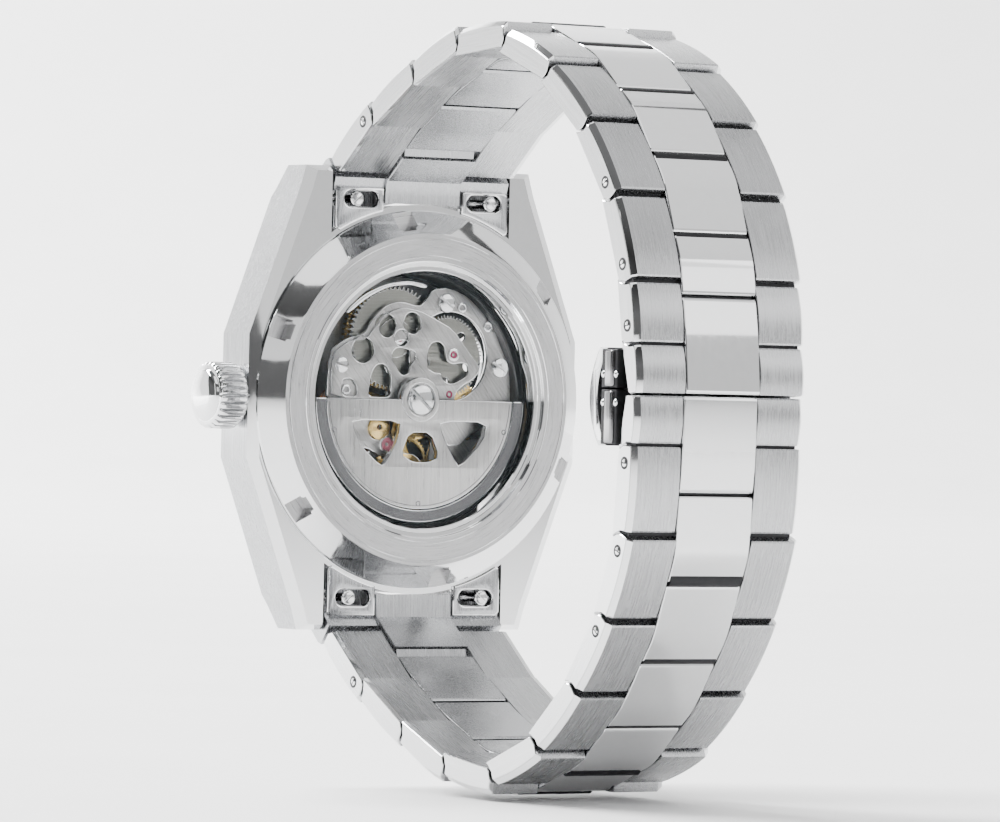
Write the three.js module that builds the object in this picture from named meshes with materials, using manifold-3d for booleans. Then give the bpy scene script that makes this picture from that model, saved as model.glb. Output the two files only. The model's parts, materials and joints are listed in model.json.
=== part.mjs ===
// Automatic skeleton wristwatch on a three-row steel bracelet with a butterfly clasp.
// Millimetres. +Z is 12 o'clock, +X is the crown side, and the dial faces -Y.
// The origin is the centre of the caseback's outer face, and the bracelet loops round the wrist on +Y.

import * as THREE from 'three';
import { mergeVertices } from 'three/addons/utils/BufferGeometryUtils.js';
import Module from 'manifold-3d';

// ---------------------------------------------------------------- driving dimensions

const GAP = 0.3;                      // running clearance between neighbours

const CASE = {
  halfWidth: 20.4, flankHalfHeight: 6.5, shoulderX: 14.6, shoulderZ: 22,
  lugTipX: 13.9, lugTipZ: 24.4, lugInnerX: 11.1, bodyRadius: 20.6,
  back: -2.15, front: -9.3, lugFront: -6.6, lugFrontStart: 18.5,
  cavityRadius: 15.6, neckRadius: 16.9, neckDepth: 1.2,
};
const BACK_RING = {
  inner: 13.7, step: 14.6, flat: 17.6, outer: 20, edge: -1.75, seat: -2.05, stepDepth: 0.35,
  neckInner: 15.9, neckOuter: 16.6, neckEnd: -3.0,
  notches: 6, notchStart: 22, notchWidth: 2.4, notchInner: 18, notchFloor: -1.2,
};
const GLASS = { radius: 13.4, thickness: 1 };
const BEZEL = { outer: 19.4, top: 18.3, inner: 16.9, seat: 15.9, seatLevel: -10, front: -11 };
const CRYSTAL = { radius: 16.6, back: -10.1, front: -11.4 };
const DIAL = {
  radius: 15.3, back: -8, front: -8.4, flangeInner: 14.3, flangeFront: -9.7,
  windows: [[-7.6, 4.4, 3.6], [7.6, 4.4, 3.6], [-8.2, -4.6, 3.0], [8.2, -4.6, 3.0], [0, 8.4, 3.0]],
};

const CROWN = {
  level: -5.1, radius: 3.5, root: 20.9, rim: 24.2, dome: 24.9, flutes: 24, fluteRadius: 0.35,
  stemRadius: 0.6, stemStart: 13.2, boreRadius: 1.1,
};
const PINION = { radius: 0.9, from: 11.8, to: 12.9 };

const MOVEMENT = { radius: 13, ringInner: 13.3, ringOuter: 15.2, back: -3.1, front: -7 };
const BRIDGE = { back: -3.1, front: -3.6, radius: 12.9 };
const PLATE = { back: -6.4, front: -7 };
const ROTOR = {
  radius: 13, weightInner: 11.65, back: -1.5, front: -2.3, weightFront: -2.85, barEdge: -2.36,
  hub: 2.4, axleRadius: 0.8, gearRadius: 2.3, gearBack: -3.8, gearFront: -4.1,
};

// Each wheel: the X and Z of its arbor, its radius, and the Y of its back and front faces. A pinion is
// given as its radius and the Y of its front end, and an arbor as its radius and the Y of its dial end.
const WHEELS = {
  ratchet: { at: [1.9, 6.45], radius: 5.6, back: -4.25, front: -4.7 },
  barrel: { at: [1.9, 6.45], radius: 5.5, back: -4.9, front: -5.75 },
  reduction: { at: [-4.6, 4.67], radius: 3.85, back: -3.8, front: -4.1 },
  centre: { at: [0, 0], radius: 5, back: -6.0, front: -6.2, pinion: [0.8, -4.9], arbor: [0.5, -8.9] },
  third: { at: [-4.4, -3.8], radius: 4.5, back: -5.4, front: -5.6, pinion: [0.7, -6.15] },
  fourth: { at: [0, -6.9], radius: 3.3, back: -4.9, front: -5.1, pinion: [0.55, -5.75], arbor: [0.28, -8.8] },
  escape: { at: [3.9, -8.2], radius: 2, back: -5.4, front: -5.6, pinion: [0.45, -4.9] },
  fork: { at: [5.5, -5.8], back: -5.35, front: -5.65, staffRadius: 0.4, staffBack: -5.2, staffFront: -6.2 },
  balance: {
    at: [7.6, -2.6], radius: 4.2, back: -4.15, front: -4.6, staffRadius: 0.3, staffBack: -3.8, staffFront: -6.2,
  },
};
const HANDS = {
  hour: { length: 8.5, width: 1.3, bore: 0.8, back: -8.65, front: -8.8 },
  minute: { length: 12.6, width: 1.1, bore: 0.4, back: -9.05, front: -9.2, hubRadius: 1.1, hubFront: -9.3 },
  second: { length: 3.6, width: 0.3, bore: 0.2, back: -8.9, front: -9.0, hubRadius: 0.5 },
  boss: 0.9,
};

const BRACELET = {
  width: 21.8, clasp: 20.2, centre: 9.2, thickness: 2.8, pitch: 8.75, shortBy: 2.6,
  firstPitch: 5.35, pinToEnd: 1.9, endGap: 0.15, bevel: 0.85, edge: 0.4, sideGap: 0.3,
  pinRadius: 0.5, pinHole: 0.8, claspEnd: 4.8, firstReach: 1.8, centreReach: 2.7,
  tie: 0.9, tieEnd: 0.4, tieBite: 0.2,
};
const LAST = 9;                       // the clasp end is link 9, counted from 0 at the case
// Where each half of the bracelet starts, as Y and Z of its first pin, and the lie of each link from
// the case to the clasp, in degrees from +Y towards 12 o'clock for the upper half.
const UPPER = { first: [-1.0, 25.7], angles: [38, 29, 22, 4, -20, -37, -52, -68, -81, -84], shortLink: 8 };
const LOWER = { first: [-0.4, 26.4], angles: [38, 29, 22, 7, -21, -40, -53, -67, -85, -88], shortLink: -1 };

const END_LINK = { halfWidth: 10.8, innerRadius: 20.9, tongue: 4.3, back: -2.3 };
const RELEASE = {
  level: -4.2, z: 21, barRadius: 0.45, lugHole: 0.75, lugHoleEnd: 12.8, barFrom: 7, barTo: 12.2,
  knobX: 8.3, knobRadius: 0.85, neckRadius: 0.45, knobBack: -1.5, knobFront: -1.95,
  slotFrom: 5.6, slotHalf: 0.8, slotFloor: -5.3,
};

const CLASP = {
  hingeY: 45.6, upperHingeZ: 17, lowerHingeZ: -13.9, upperPivotZ: 5.7, lowerPivotZ: -2.5, pivotY: 49.7,
  armHalf: 4, armInner: 2.2, armThickness: 0.6, knuckle: 0.95, earFrom: 4.4, earTo: 5, stripHalf: 3.9,
  plateHalf: 10, plateTop: 5.1, plateBottom: -4.5, plateEdge: 48.3, plateBack: 45.2, plateThick: 1.5,
  buttonFrom: 6.1, buttonTo: 10.5, buttonBack: 50.9, buttonFront: 48.65, seam: 1.55,
  stripThick: 0.8, stripShort: 3.6, earLength: 2.4, earHalf: 0.7, endRecess: 0.5,
};

const ROUND = 40;                     // sides of the large round parts
const SMALL = 12;                     // sides of the small ones

// ---------------------------------------------------------------- materials

const steel = (color, roughness) => new THREE.MeshStandardMaterial({ color, roughness, metalness: 1 });
const FINISH = {
  polished: () => steel(0xd6d8da, 0.12),
  brushed: () => steel(0xb9bcbf, 0.35),
  dark: () => steel(0x3a3c40, 0.4),
  gold: () => steel(0xc79a4b, 0.25),
  copper: () => steel(0xb8744a, 0.25),
  blued: () => steel(0x28407a, 0.25),
  black: () => new THREE.MeshStandardMaterial({ color: 0x141416, roughness: 0.5, metalness: 0.1 }),
  glass: () => new THREE.MeshStandardMaterial({
    color: 0xeef4f6, roughness: 0.03, metalness: 0, opacity: 0.3, transparent: true,
  }),
};

// ---------------------------------------------------------------- solids and booleans

const wasm = await Module();
wasm.setup();

// A closed three.js geometry as a solid that can be joined and cut.
function solid(geometry) {
  const bare = geometry.clone();
  bare.deleteAttribute('normal');
  bare.deleteAttribute('uv');
  const merged = mergeVertices(bare, 1e-4);
  const index = merged.index.array;
  const triangles = [];
  for (let i = 0; i < index.length; i += 3) {
    const [a, b, c] = [index[i], index[i + 1], index[i + 2]];
    if (a !== b && b !== c && c !== a) triangles.push(a, b, c);
  }
  return new wasm.Manifold(new wasm.Mesh({
    numProp: 3,
    vertProperties: new Float32Array(merged.attributes.position.array),
    triVerts: new Uint32Array(triangles),
  }));
}

function geometryOf(body) {
  const mesh = body.getMesh();
  const geometry = new THREE.BufferGeometry();
  geometry.setAttribute('position', new THREE.BufferAttribute(new Float32Array(mesh.vertProperties), 3));
  geometry.setIndex(new THREE.BufferAttribute(new Uint32Array(mesh.triVerts), 1));
  geometry.computeVertexNormals();
  return geometry;
}

const join = (first, ...others) => others.reduce((whole, other) => whole.add(other), first);
const cut = (body, ...tools) => tools.reduce((left, tool) => left.subtract(tool), body);

// ---------------------------------------------------------------- shapes

function block(x0, x1, y0, y1, z0, z1) {
  const box = new THREE.BoxGeometry(x1 - x0, y1 - y0, z1 - z0);
  return solid(box.translate((x0 + x1) / 2, (y0 + y1) / 2, (z0 + z1) / 2));
}

// A round disc or pin along Y, from its back face to its front face.
function disc(radius, back, front, x = 0, z = 0, segments = SMALL) {
  const cylinder = new THREE.CylinderGeometry(radius, radius, back - front, segments);
  return solid(cylinder.translate(x, (back + front) / 2, z));
}

// A round pin along X.
function pin(radius, from, to, y, z, segments = SMALL) {
  const cylinder = new THREE.CylinderGeometry(radius, radius, to - from, segments);
  return solid(cylinder.rotateZ(-Math.PI / 2).translate((from + to) / 2, y, z));
}

// A ring or dome about the Y axis. The section is given anticlockwise as radius and Y.
function turned(section, segments = ROUND) {
  const points = section.map(([radius, y]) => new THREE.Vector2(radius, y));
  if (section[0][0] > 0) points.push(points[0].clone());
  return solid(new THREE.LatheGeometry(points, segments));
}

const ring = (inner, outer, back, front) => turned([
  [inner, front], [outer, front], [outer, back], [inner, back],
]);

// A closed outline, turned anticlockwise as its holes need.
function outline(points, holes = []) {
  const corners = points.map(([a, b]) => new THREE.Vector2(a, b));
  if (THREE.ShapeUtils.isClockWise(corners)) corners.reverse();
  const shape = new THREE.Shape(corners);
  shape.holes.push(...holes);
  return shape;
}

// A round outline with as many sides as its size needs.
function round(x, z, radius, sides = 40) {
  const points = [];
  for (let i = 0; i < sides; i += 1) {
    const angle = (2 * Math.PI * i) / sides;
    points.push([x + radius * Math.cos(angle), z + radius * Math.sin(angle)]);
  }
  return outline(points);
}

const circleHole = (x, z, radius) => new THREE.Path().absarc(x, z, radius, 0, 2 * Math.PI, true);
const ovalHole = (x, z, rx, rz, turn = 0) =>
  new THREE.Path().absellipse(x, z, rx, rz, 0, 2 * Math.PI, true, turn);

// An outline in X and Z, as thick as the distance from its back face to its front face.
function plate(shape, back, front, curveSegments = 6) {
  const depth = back - front;
  const geometry = new THREE.ExtrudeGeometry(shape, { depth, bevelEnabled: false, curveSegments });
  return solid(geometry.rotateX(Math.PI / 2).translate(0, back, 0));
}

// An outline in Y and Z, extruded along X.
function bar(shape, from, to) {
  const depth = to - from;
  const geometry = new THREE.ExtrudeGeometry(shape, { depth, bevelEnabled: false, curveSegments: 4 });
  const lie = new THREE.Matrix4().makeBasis(
    new THREE.Vector3(0, 1, 0), new THREE.Vector3(0, 0, 1), new THREE.Vector3(1, 0, 0));
  return solid(geometry.applyMatrix4(lie).translate(from, 0, 0));
}

const both = (make) => join(make(1), make(-1));
const span = (side, near, far) => (side > 0 ? [near, far] : [-far, -near]);

// ---------------------------------------------------------------- the watch

const watch = new THREE.Group();

function piece(name, body, material) {
  const mesh = new THREE.Mesh(geometryOf(body), material);
  mesh.name = name;
  watch.add(mesh);
  return mesh;
}

// ---------------------------------------------------------------- case, caseback and crystal

function caseMiddle() {
  const c = CASE;
  const armAngle = Math.acos(c.lugInnerX / c.bodyRadius);
  const shape = new THREE.Shape();
  shape.moveTo(c.halfWidth, -c.flankHalfHeight);
  shape.lineTo(c.halfWidth, c.flankHalfHeight);
  shape.lineTo(c.shoulderX, c.shoulderZ);
  shape.lineTo(c.lugTipX, c.lugTipZ);
  shape.lineTo(c.lugInnerX, c.lugTipZ);
  shape.absarc(0, 0, c.bodyRadius, armAngle, Math.PI - armAngle, false);
  shape.lineTo(-c.lugInnerX, c.lugTipZ);
  shape.lineTo(-c.lugTipX, c.lugTipZ);
  shape.lineTo(-c.shoulderX, c.shoulderZ);
  shape.lineTo(-c.halfWidth, c.flankHalfHeight);
  shape.lineTo(-c.halfWidth, -c.flankHalfHeight);
  shape.lineTo(-c.shoulderX, -c.shoulderZ);
  shape.lineTo(-c.lugTipX, -c.lugTipZ);
  shape.lineTo(-c.lugInnerX, -c.lugTipZ);
  shape.absarc(0, 0, c.bodyRadius, Math.PI + armAngle, 2 * Math.PI - armAngle, false);
  shape.lineTo(c.lugInnerX, -c.lugTipZ);
  shape.lineTo(c.lugTipX, -c.lugTipZ);
  shape.lineTo(c.shoulderX, -c.shoulderZ);
  const side = outline([
    [c.back, -c.lugTipZ], [c.back, c.lugTipZ], [c.lugFront, c.lugTipZ], [c.front, c.lugFrontStart],
    [c.front, -c.lugFrontStart], [c.lugFront, -c.lugTipZ],
  ]);
  let body = plate(shape, c.back, c.front).intersect(bar(side, -c.halfWidth, c.halfWidth));
  body = cut(body,
    disc(c.cavityRadius, c.back + 1, c.front - 1, 0, 0, ROUND),
    disc(c.neckRadius, c.back + 1, c.back - c.neckDepth, 0, 0, ROUND),
    pin(CROWN.boreRadius, c.cavityRadius - 2, c.halfWidth + 1, CROWN.level, 0));
  for (const z of [RELEASE.z, -RELEASE.z]) {
    for (const side of [1, -1]) {
      const [from, to] = span(side, c.lugInnerX - 0.5, RELEASE.lugHoleEnd);
      body = cut(body, pin(RELEASE.lugHole, from, to, RELEASE.level, z, 12));
    }
  }
  return body;
}

function casebackRing() {
  const r = BACK_RING;
  let body = turned([
    [r.inner, r.seat], [r.neckInner, r.seat], [r.neckInner, r.neckEnd], [r.neckOuter, r.neckEnd],
    [r.neckOuter, r.seat], [r.outer, r.seat], [r.outer, r.edge], [r.flat, 0], [r.step, 0],
    [r.step, -r.stepDepth], [r.inner, -r.stepDepth],
  ]);
  for (let i = 0; i < r.notches; i += 1) {
    const notch = new THREE.BoxGeometry(4, 2, r.notchWidth);
    notch.translate(r.notchInner + 2, r.notchFloor + 1, 0);
    notch.rotateY(-THREE.MathUtils.degToRad(r.notchStart + (360 / r.notches) * i));
    body = cut(body, solid(notch));
  }
  return body;
}

function bezel() {
  const b = BEZEL;
  return turned([
    [b.top, b.front], [b.outer, CASE.front - 0.4], [b.outer, CASE.front - 0.02], [b.seat, CASE.front - 0.02],
    [b.seat, b.seatLevel], [b.inner, b.seatLevel], [b.inner, b.front],
  ]);
}

piece('case_middle', caseMiddle(), FINISH.brushed());
piece('caseback_ring', casebackRing(), FINISH.polished());
piece('caseback_glass', disc(GLASS.radius, 0, -GLASS.thickness, 0, 0, ROUND), FINISH.glass());
piece('bezel', bezel(), FINISH.polished());
piece('front_crystal', disc(CRYSTAL.radius, CRYSTAL.back, CRYSTAL.front, 0, 0, ROUND), FINISH.glass());
piece('flange_ring', ring(DIAL.flangeInner, DIAL.radius, DIAL.front - 0.05, DIAL.flangeFront), FINISH.black());

// ---------------------------------------------------------------- crown, stem and winding pinion

function crown() {
  const c = CROWN;
  let body = join(
    pin(c.radius, c.root, c.rim, c.level, 0, ROUND),
    pin(c.stemRadius, c.stemStart, c.root + 0.2, c.level, 0, 12),
    solid(new THREE.CylinderGeometry(c.radius - 1.2, c.radius - 0.1, c.dome - c.rim + 0.2, 24)
      .rotateZ(-Math.PI / 2).translate((c.dome + c.rim) / 2 - 0.1, c.level, 0)));
  for (let i = 0; i < c.flutes; i += 1) {
    const angle = (2 * Math.PI * i) / c.flutes;
    const y = c.level + (c.radius + 0.05) * Math.cos(angle);
    const z = (c.radius + 0.05) * Math.sin(angle);
    body = cut(body, pin(c.fluteRadius, c.root + 0.5, c.rim + 1, y, z, 4));
  }
  return body;
}

piece('crown', crown(), FINISH.polished());
piece('winding_pinion', pin(PINION.radius, PINION.from, PINION.to, CROWN.level, 0), FINISH.brushed());

// ---------------------------------------------------------------- movement: fixed plates

function movementRing() {
  const m = MOVEMENT;
  return cut(ring(m.ringInner, m.ringOuter, m.back, m.front),
    pin(CROWN.boreRadius, m.ringInner - 1, m.ringOuter + 1, CROWN.level, 0));
}

function trainBridge() {
  const shape = new THREE.Shape();
  shape.absarc(0, 0, BRIDGE.radius, -0.12, Math.PI + 0.35, false);
  shape.lineTo(-8.4, -3.1);
  shape.lineTo(-5.4, -5.4);
  shape.lineTo(-2.2, -3.6);
  shape.lineTo(2.1, -1.9);
  shape.lineTo(5.6, 0.9);
  shape.lineTo(9.4, 1.3);
  shape.holes.push(
    circleHole(0, 0, 1.3),
    ovalHole(3.6, 7.6, 1.9, 1.0, 0.5),
    ovalHole(0.6, 8.1, 1.1, 0.9, 0),
    ovalHole(1.7, 4.1, 1.5, 1.9, 0.4),
    circleHole(6.7, 4.7, 1.3),
    ovalHole(4.3, 1.9, 0.9, 0.7, 0),
    outlineHole([[-1.6, 6.1], [-6.8, 6.1], [-6.9, 2.2], [-4.6, 1.4], [-3.2, 3.1], [-1.4, 3.4]]));
  return plate(shape, BRIDGE.back, BRIDGE.front);
}

function outlineHole(points) {
  return new THREE.Path(points.map(([x, z]) => new THREE.Vector2(x, z)));
}

function balanceCock() {
  const shape = outline([
    [11.9, -3.2], [9.2, -9.0], [7.2, -9.6], [6.5, -7.4], [6.1, -4.4], [3.2, -6.2], [2.4, -4.9],
    [3.3, -2.9], [5.0, -1.9], [8.0, -1.4], [11.6, -1.9],
  ], [circleHole(4.4, -3.3, 0.5), circleHole(9.6, -5.6, 0.9)]);
  return plate(shape, BRIDGE.back, BRIDGE.front);
}

function mainPlate() {
  const shape = round(0, 0, MOVEMENT.radius);
  shape.holes.push(
    circleHole(0, 0, 1.4), circleHole(...WHEELS.fourth.at, 0.6),
    ovalHole(-8.6, 3.4, 2.2, 3.6, 0.2), ovalHole(8.9, 4.6, 2.0, 3.0, -0.3),
    circleHole(7.6, -2.6, 1.6), circleHole(-8.2, -6.6, 1.8));
  return plate(shape, PLATE.back, PLATE.front);
}

function dialPlate() {
  const shape = round(0, 0, DIAL.radius);
  shape.holes.push(circleHole(0, 0, 1.4), circleHole(...WHEELS.fourth.at, 0.6));
  DIAL.windows.forEach((window) => shape.holes.push(circleHole(...window)));
  return plate(shape, DIAL.back, DIAL.front);
}

piece('movement_ring', movementRing(), FINISH.black());
piece('main_plate', mainPlate(), FINISH.brushed());
piece('train_bridge', trainBridge(), FINISH.brushed());
piece('balance_cock', balanceCock(), FINISH.brushed());
piece('dial_plate', dialPlate(), FINISH.dark());

// ---------------------------------------------------------------- movement: rotor and wheels

function rotorPlate() {
  const r = ROTOR;
  const edge = Math.asin(r.barEdge / r.weightInner);
  const shape = new THREE.Shape();
  shape.absarc(0, 0, r.weightInner - 0.05, Math.PI, 2 * Math.PI, false);
  shape.absarc(0, 0, r.hub, 0, Math.PI, false);
  for (const side of [1, -1]) {
    shape.holes.push(outlineHole([
      [side * 2.7, r.barEdge], [side * 8.3, r.barEdge], [side * 7.4, -4.9], [side * 4.6, -7.4],
      [side * 2.2, -3.3],
    ]));
  }
  shape.holes.push(outlineHole([[-1.1, -3.7], [1.1, -3.7], [2.6, -6.6], [-2.6, -6.6]]));
  return join(plate(shape, r.back, r.front, 14),
    disc(r.axleRadius, r.front + 0.1, r.gearFront + 0.1),
    disc(r.gearRadius, r.gearBack, r.gearFront, 0, 0, 24));
}

function rotorWeight() {
  const r = ROTOR;
  const shape = new THREE.Shape();
  shape.absarc(0, 0, r.radius, Math.PI, 2 * Math.PI, false);
  shape.absarc(0, 0, r.weightInner, 2 * Math.PI, Math.PI, true);
  return plate(shape, r.back, r.weightFront, 14);
}

// A wheel with spokes: a rim, a hub, and windows between them.
function wheel({ at: [x, z], radius, back, front }, rim, hub, spokes, sides = 32) {
  const spokeShare = 0.16;            // share of each window's turn given to half a spoke
  const shape = round(x, z, radius, sides);
  for (let i = 0; i < spokes; i += 1) {
    const start = (2 * Math.PI * (i + spokeShare)) / spokes;
    const end = (2 * Math.PI * (i + 1 - spokeShare)) / spokes;
    const window = new THREE.Path();
    window.absarc(x, z, radius - rim, start, end, false);
    window.absarc(x, z, hub, end, start, true);
    window.closePath();
    shape.holes.push(window);
  }
  return plate(shape, back, front, 3);
}

// A pinion from the middle of its wheel to the Y of its end.
function pinionOf({ at, back, front, pinion: [radius, end] }) {
  const middle = (back + front) / 2;
  return disc(radius, Math.max(middle, end), Math.min(middle, end), ...at);
}

function arborOf({ at, back, arbor: [radius, end] }) {
  return disc(radius, back - 0.1, end, ...at, 8);
}

function palletFork() {
  const { at: [x, z], back, front, staffRadius, staffBack, staffFront } = WHEELS.fork;
  const towards = new THREE.Vector2(WHEELS.balance.at[0] - x, WHEELS.balance.at[1] - z).normalize();
  const across = new THREE.Vector2(-towards.y, towards.x);
  const at = (along, side) => [
    x + along * towards.x + side * across.x, z + along * towards.y + side * across.y,
  ];
  const shape = outline([
    at(-0.9, -1.5), at(-0.3, -1.5), at(-0.3, -0.3), at(2.9, -0.22), at(2.9, 0.22), at(-0.3, 0.3),
    at(-0.3, 1.5), at(-0.9, 1.5), at(-0.5, 0),
  ]);
  return join(plate(shape, back, front), disc(staffRadius, staffBack, staffFront, x, z, 10));
}

function balanceWheel() {
  const { at, staffRadius, staffBack, staffFront } = WHEELS.balance;
  return join(wheel(WHEELS.balance, 0.6, 0.6, 2, 36), disc(staffRadius, staffBack, staffFront, ...at, 10));
}

const { ratchet, barrel, reduction, centre, third, fourth, escape } = WHEELS;
piece('rotor_plate', rotorPlate(), FINISH.brushed());
piece('rotor_weight', rotorWeight(), FINISH.dark());
piece('ratchet_wheel', wheel(ratchet, 2.4, 1.4, 3, 36), FINISH.brushed());
piece('reduction_wheel', wheel(reduction, 0.9, 0.9, 3), FINISH.brushed());
piece('barrel_drum', disc(barrel.radius, barrel.back, barrel.front, ...barrel.at, ROUND), FINISH.gold());
piece('centre_wheel', join(wheel(centre, 0.6, 0.7, 4), pinionOf(centre), arborOf(centre)), FINISH.gold());
piece('third_wheel', join(wheel(third, 0.6, 0.7, 4), pinionOf(third)), FINISH.gold());
piece('fourth_wheel', join(wheel(fourth, 0.6, 0.7, 4), pinionOf(fourth), arborOf(fourth)), FINISH.gold());
piece('escape_wheel', join(wheel(escape, 0.4, 0.5, 4, 20), pinionOf(escape)), FINISH.brushed());
piece('pallet_fork', palletFork(), FINISH.polished());
piece('balance_wheel', balanceWheel(), FINISH.copper());

// ---------------------------------------------------------------- hands

// A tapered hand that points to 12 o'clock, with a ring at its arbor.
function hand([x, z], { length, width, bore, back, front }) {
  const neck = bore + 0.3;
  const shoulder = 0.7 * length;
  const pointer = outline([
    [x - width / 2, z + neck], [x + width / 2, z + neck], [x + 0.7 * width, z + shoulder],
    [x, z + length], [x - 0.7 * width, z + shoulder],
  ]);
  return cut(join(disc(bore + HANDS.boss, back, front, x, z, 24), plate(pointer, back, front)),
    disc(bore, back + 1, front - 1, x, z));
}

const { hour, minute, second } = HANDS;
piece('hour_hand', hand(centre.at, hour), FINISH.polished());
piece('minute_hand',
  join(hand(centre.at, minute), disc(minute.hubRadius, minute.back, minute.hubFront)), FINISH.polished());
const secondHub = disc(second.hubRadius, second.back, second.front, ...fourth.at);
piece('second_hand', join(hand(fourth.at, second), secondHub), FINISH.blued());

// ---------------------------------------------------------------- bracelet

// Pin places along one half of the bracelet, from the case to the clasp, as [y, z] above Z = 0.
function pinPlaces(half) {
  const places = [half.first];
  half.angles.forEach((angle, i) => {
    const [y, z] = places[i];
    const a = THREE.MathUtils.degToRad(angle);
    let length = i === 0 ? BRACELET.firstPitch : BRACELET.pitch;
    if (i === half.shortLink) length -= BRACELET.shortBy;
    places.push([y + length * Math.cos(a), z + length * Math.sin(a)]);
  });
  return places;
}

// The frame at a pin: X across the bracelet, Y along the link towards the clasp, Z outwards.
function linkFrame(half, i, side) {
  const [y, z] = pinPlaces(half)[i];
  const a = THREE.MathUtils.degToRad(half.angles[i]);
  const along = new THREE.Vector3(0, Math.cos(a), side * Math.sin(a));
  const out = new THREE.Vector3(0, -Math.sin(a), side * Math.cos(a));
  const across = new THREE.Vector3().crossVectors(along, out);
  return new THREE.Matrix4().makeBasis(across, along, out).setPosition(0, y, side * z);
}

function widthAt(i) {
  return THREE.MathUtils.lerp(BRACELET.width, BRACELET.clasp, i / LAST);
}

// A brushed outer piece: bevelled under its ends so that the next link can turn.
function outerSection(from, to) {
  const { thickness, bevel, edge } = BRACELET;
  const h = thickness / 2;
  return outline([
    [from + edge, h], [to - edge, h], [to, h - edge], [to - bevel, -h], [from + bevel, -h], [from, h - edge],
  ]);
}

// A polished centre piece, round about the pin that it turns on.
function centreSection(to) {
  const h = BRACELET.thickness / 2;
  const reach = BRACELET.centreReach;
  const edge = 0.3;
  const points = [[to, h - edge], [to - edge, h]];
  const start = Math.asin(h / reach);
  for (const t of [-1, -0.5, 0, 0.5, 1]) {
    points.push([-reach * Math.cos(t * start), -reach * Math.sin(t * start)]);
  }
  points.push([to - edge, -h], [to, -h + edge]);
  return outline(points);
}

function link(half, i) {
  const b = BRACELET;
  const h = b.thickness / 2;
  const width = widthAt(i);
  const pitch = b.pitch - (i === half.shortLink ? b.shortBy : 0);
  const first = i === 0;
  const last = i === LAST;
  const from = first ? -b.firstReach : b.pinToEnd + b.endGap;
  const to = last ? b.pinToEnd + b.claspEnd - b.endGap : (first ? b.firstPitch : pitch) + b.pinToEnd - b.endGap;
  const outers = both((side) => bar(outerSection(from, to), ...span(side, b.centre / 2, width / 2)));
  if (first) {
    const bite = 0.5;
    const hub = pin(b.pinRadius, -b.centre / 2 - bite, b.centre / 2 + bite, 0, 0);
    return join(outers, hub);
  }
  const centreHalf = b.centre / 2 - b.sideGap;
  const centreTo = last ? to : pitch - b.centreReach - GAP;
  const centre = bar(centreSection(centreTo), -centreHalf, centreHalf);
  const tieTo = (last ? to : centreTo) - b.tieEnd;
  const tie = bar(outline([
    [from + b.tie, b.tie], [tieTo, b.tie], [tieTo, -b.tie], [from + b.tie, -b.tie],
  ]), -b.centre / 2 - b.tieBite, b.centre / 2 + b.tieBite);
  const body = join(outers, centre, tie);
  if (!last) return body;
  const armSpace = CLASP.armHalf + GAP;
  return cut(body, block(-armSpace, armSpace, -b.centreReach - 1, b.claspEnd, -h - 1, -h + CLASP.endRecess));
}

function placed(mesh, frame) {
  mesh.applyMatrix4(frame);
  return mesh;
}

// ---------------------------------------------------------------- end links and release pins

function endLink(half, side) {
  const e = END_LINK;
  const shape = new THREE.Shape();
  const start = Math.acos(e.halfWidth / e.innerRadius);
  shape.absarc(0, 0, e.innerRadius, start, Math.PI - start, false);
  shape.lineTo(-e.halfWidth, 27);
  shape.lineTo(e.halfWidth, 27);
  const [y, z] = half.first;
  const a = THREE.MathUtils.degToRad(half.angles[0]);
  const local = (along, out) => [
    y + along * Math.cos(a) - out * Math.sin(a), z + along * Math.sin(a) + out * Math.cos(a),
  ];
  const profile = outline([
    [e.back, 16], [e.back, z - 3.5], local(-2.3, -1.35), local(-2.3, 1.2), local(-2.9, 1.4), [-6.4, 23.2],
    [-8.2, 20.9], [-9.0, 16],
  ]);
  let body = plate(shape, -1, -10, 12).intersect(bar(profile, -e.halfWidth, e.halfWidth));
  const tongue = bar(outline([
    local(-3.4, -1.35), local(1.6, -1.4), local(2.3, -0.7), local(2.3, 0.7), local(1.6, 1.4), local(-3.4, 1.35),
  ]), -e.tongue, e.tongue);
  body = cut(join(body, tongue), pin(BRACELET.pinHole, -12, 12, y, z, 12));
  const r = RELEASE;
  for (const s of [1, -1]) {
    const [from, to] = span(s, r.slotFrom, e.halfWidth + 1);
    body = cut(body, block(from, to, r.slotFloor, 0, r.z - r.slotHalf, r.z + r.slotHalf));
  }
  if (side < 0) body = body.scale([1, 1, -1]);
  return body;
}

function releasePin(across, side) {
  const r = RELEASE;
  const [from, to] = span(across, r.barFrom, r.barTo);
  const z = side * r.z;
  return join(pin(r.barRadius, from, to, r.level, z, 12),
    disc(r.neckRadius, r.knobBack - 0.1, r.level, across * r.knobX, z, 12),
    disc(r.knobRadius, r.knobBack, r.knobFront, across * r.knobX, z, 16));
}

// ---------------------------------------------------------------- clasp

// A bar between two pivots, seen from the side, with round ends.
function armSection(from, to, half) {
  const line = new THREE.Vector2(to[0] - from[0], to[1] - from[1]);
  const angle = Math.atan2(line.y, line.x);
  const shape = new THREE.Shape();
  shape.absarc(from[0], from[1], half, angle + Math.PI / 2, angle - Math.PI / 2, false);
  shape.absarc(to[0], to[1], half, angle - Math.PI / 2, angle + Math.PI / 2, false);
  return shape;
}

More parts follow.
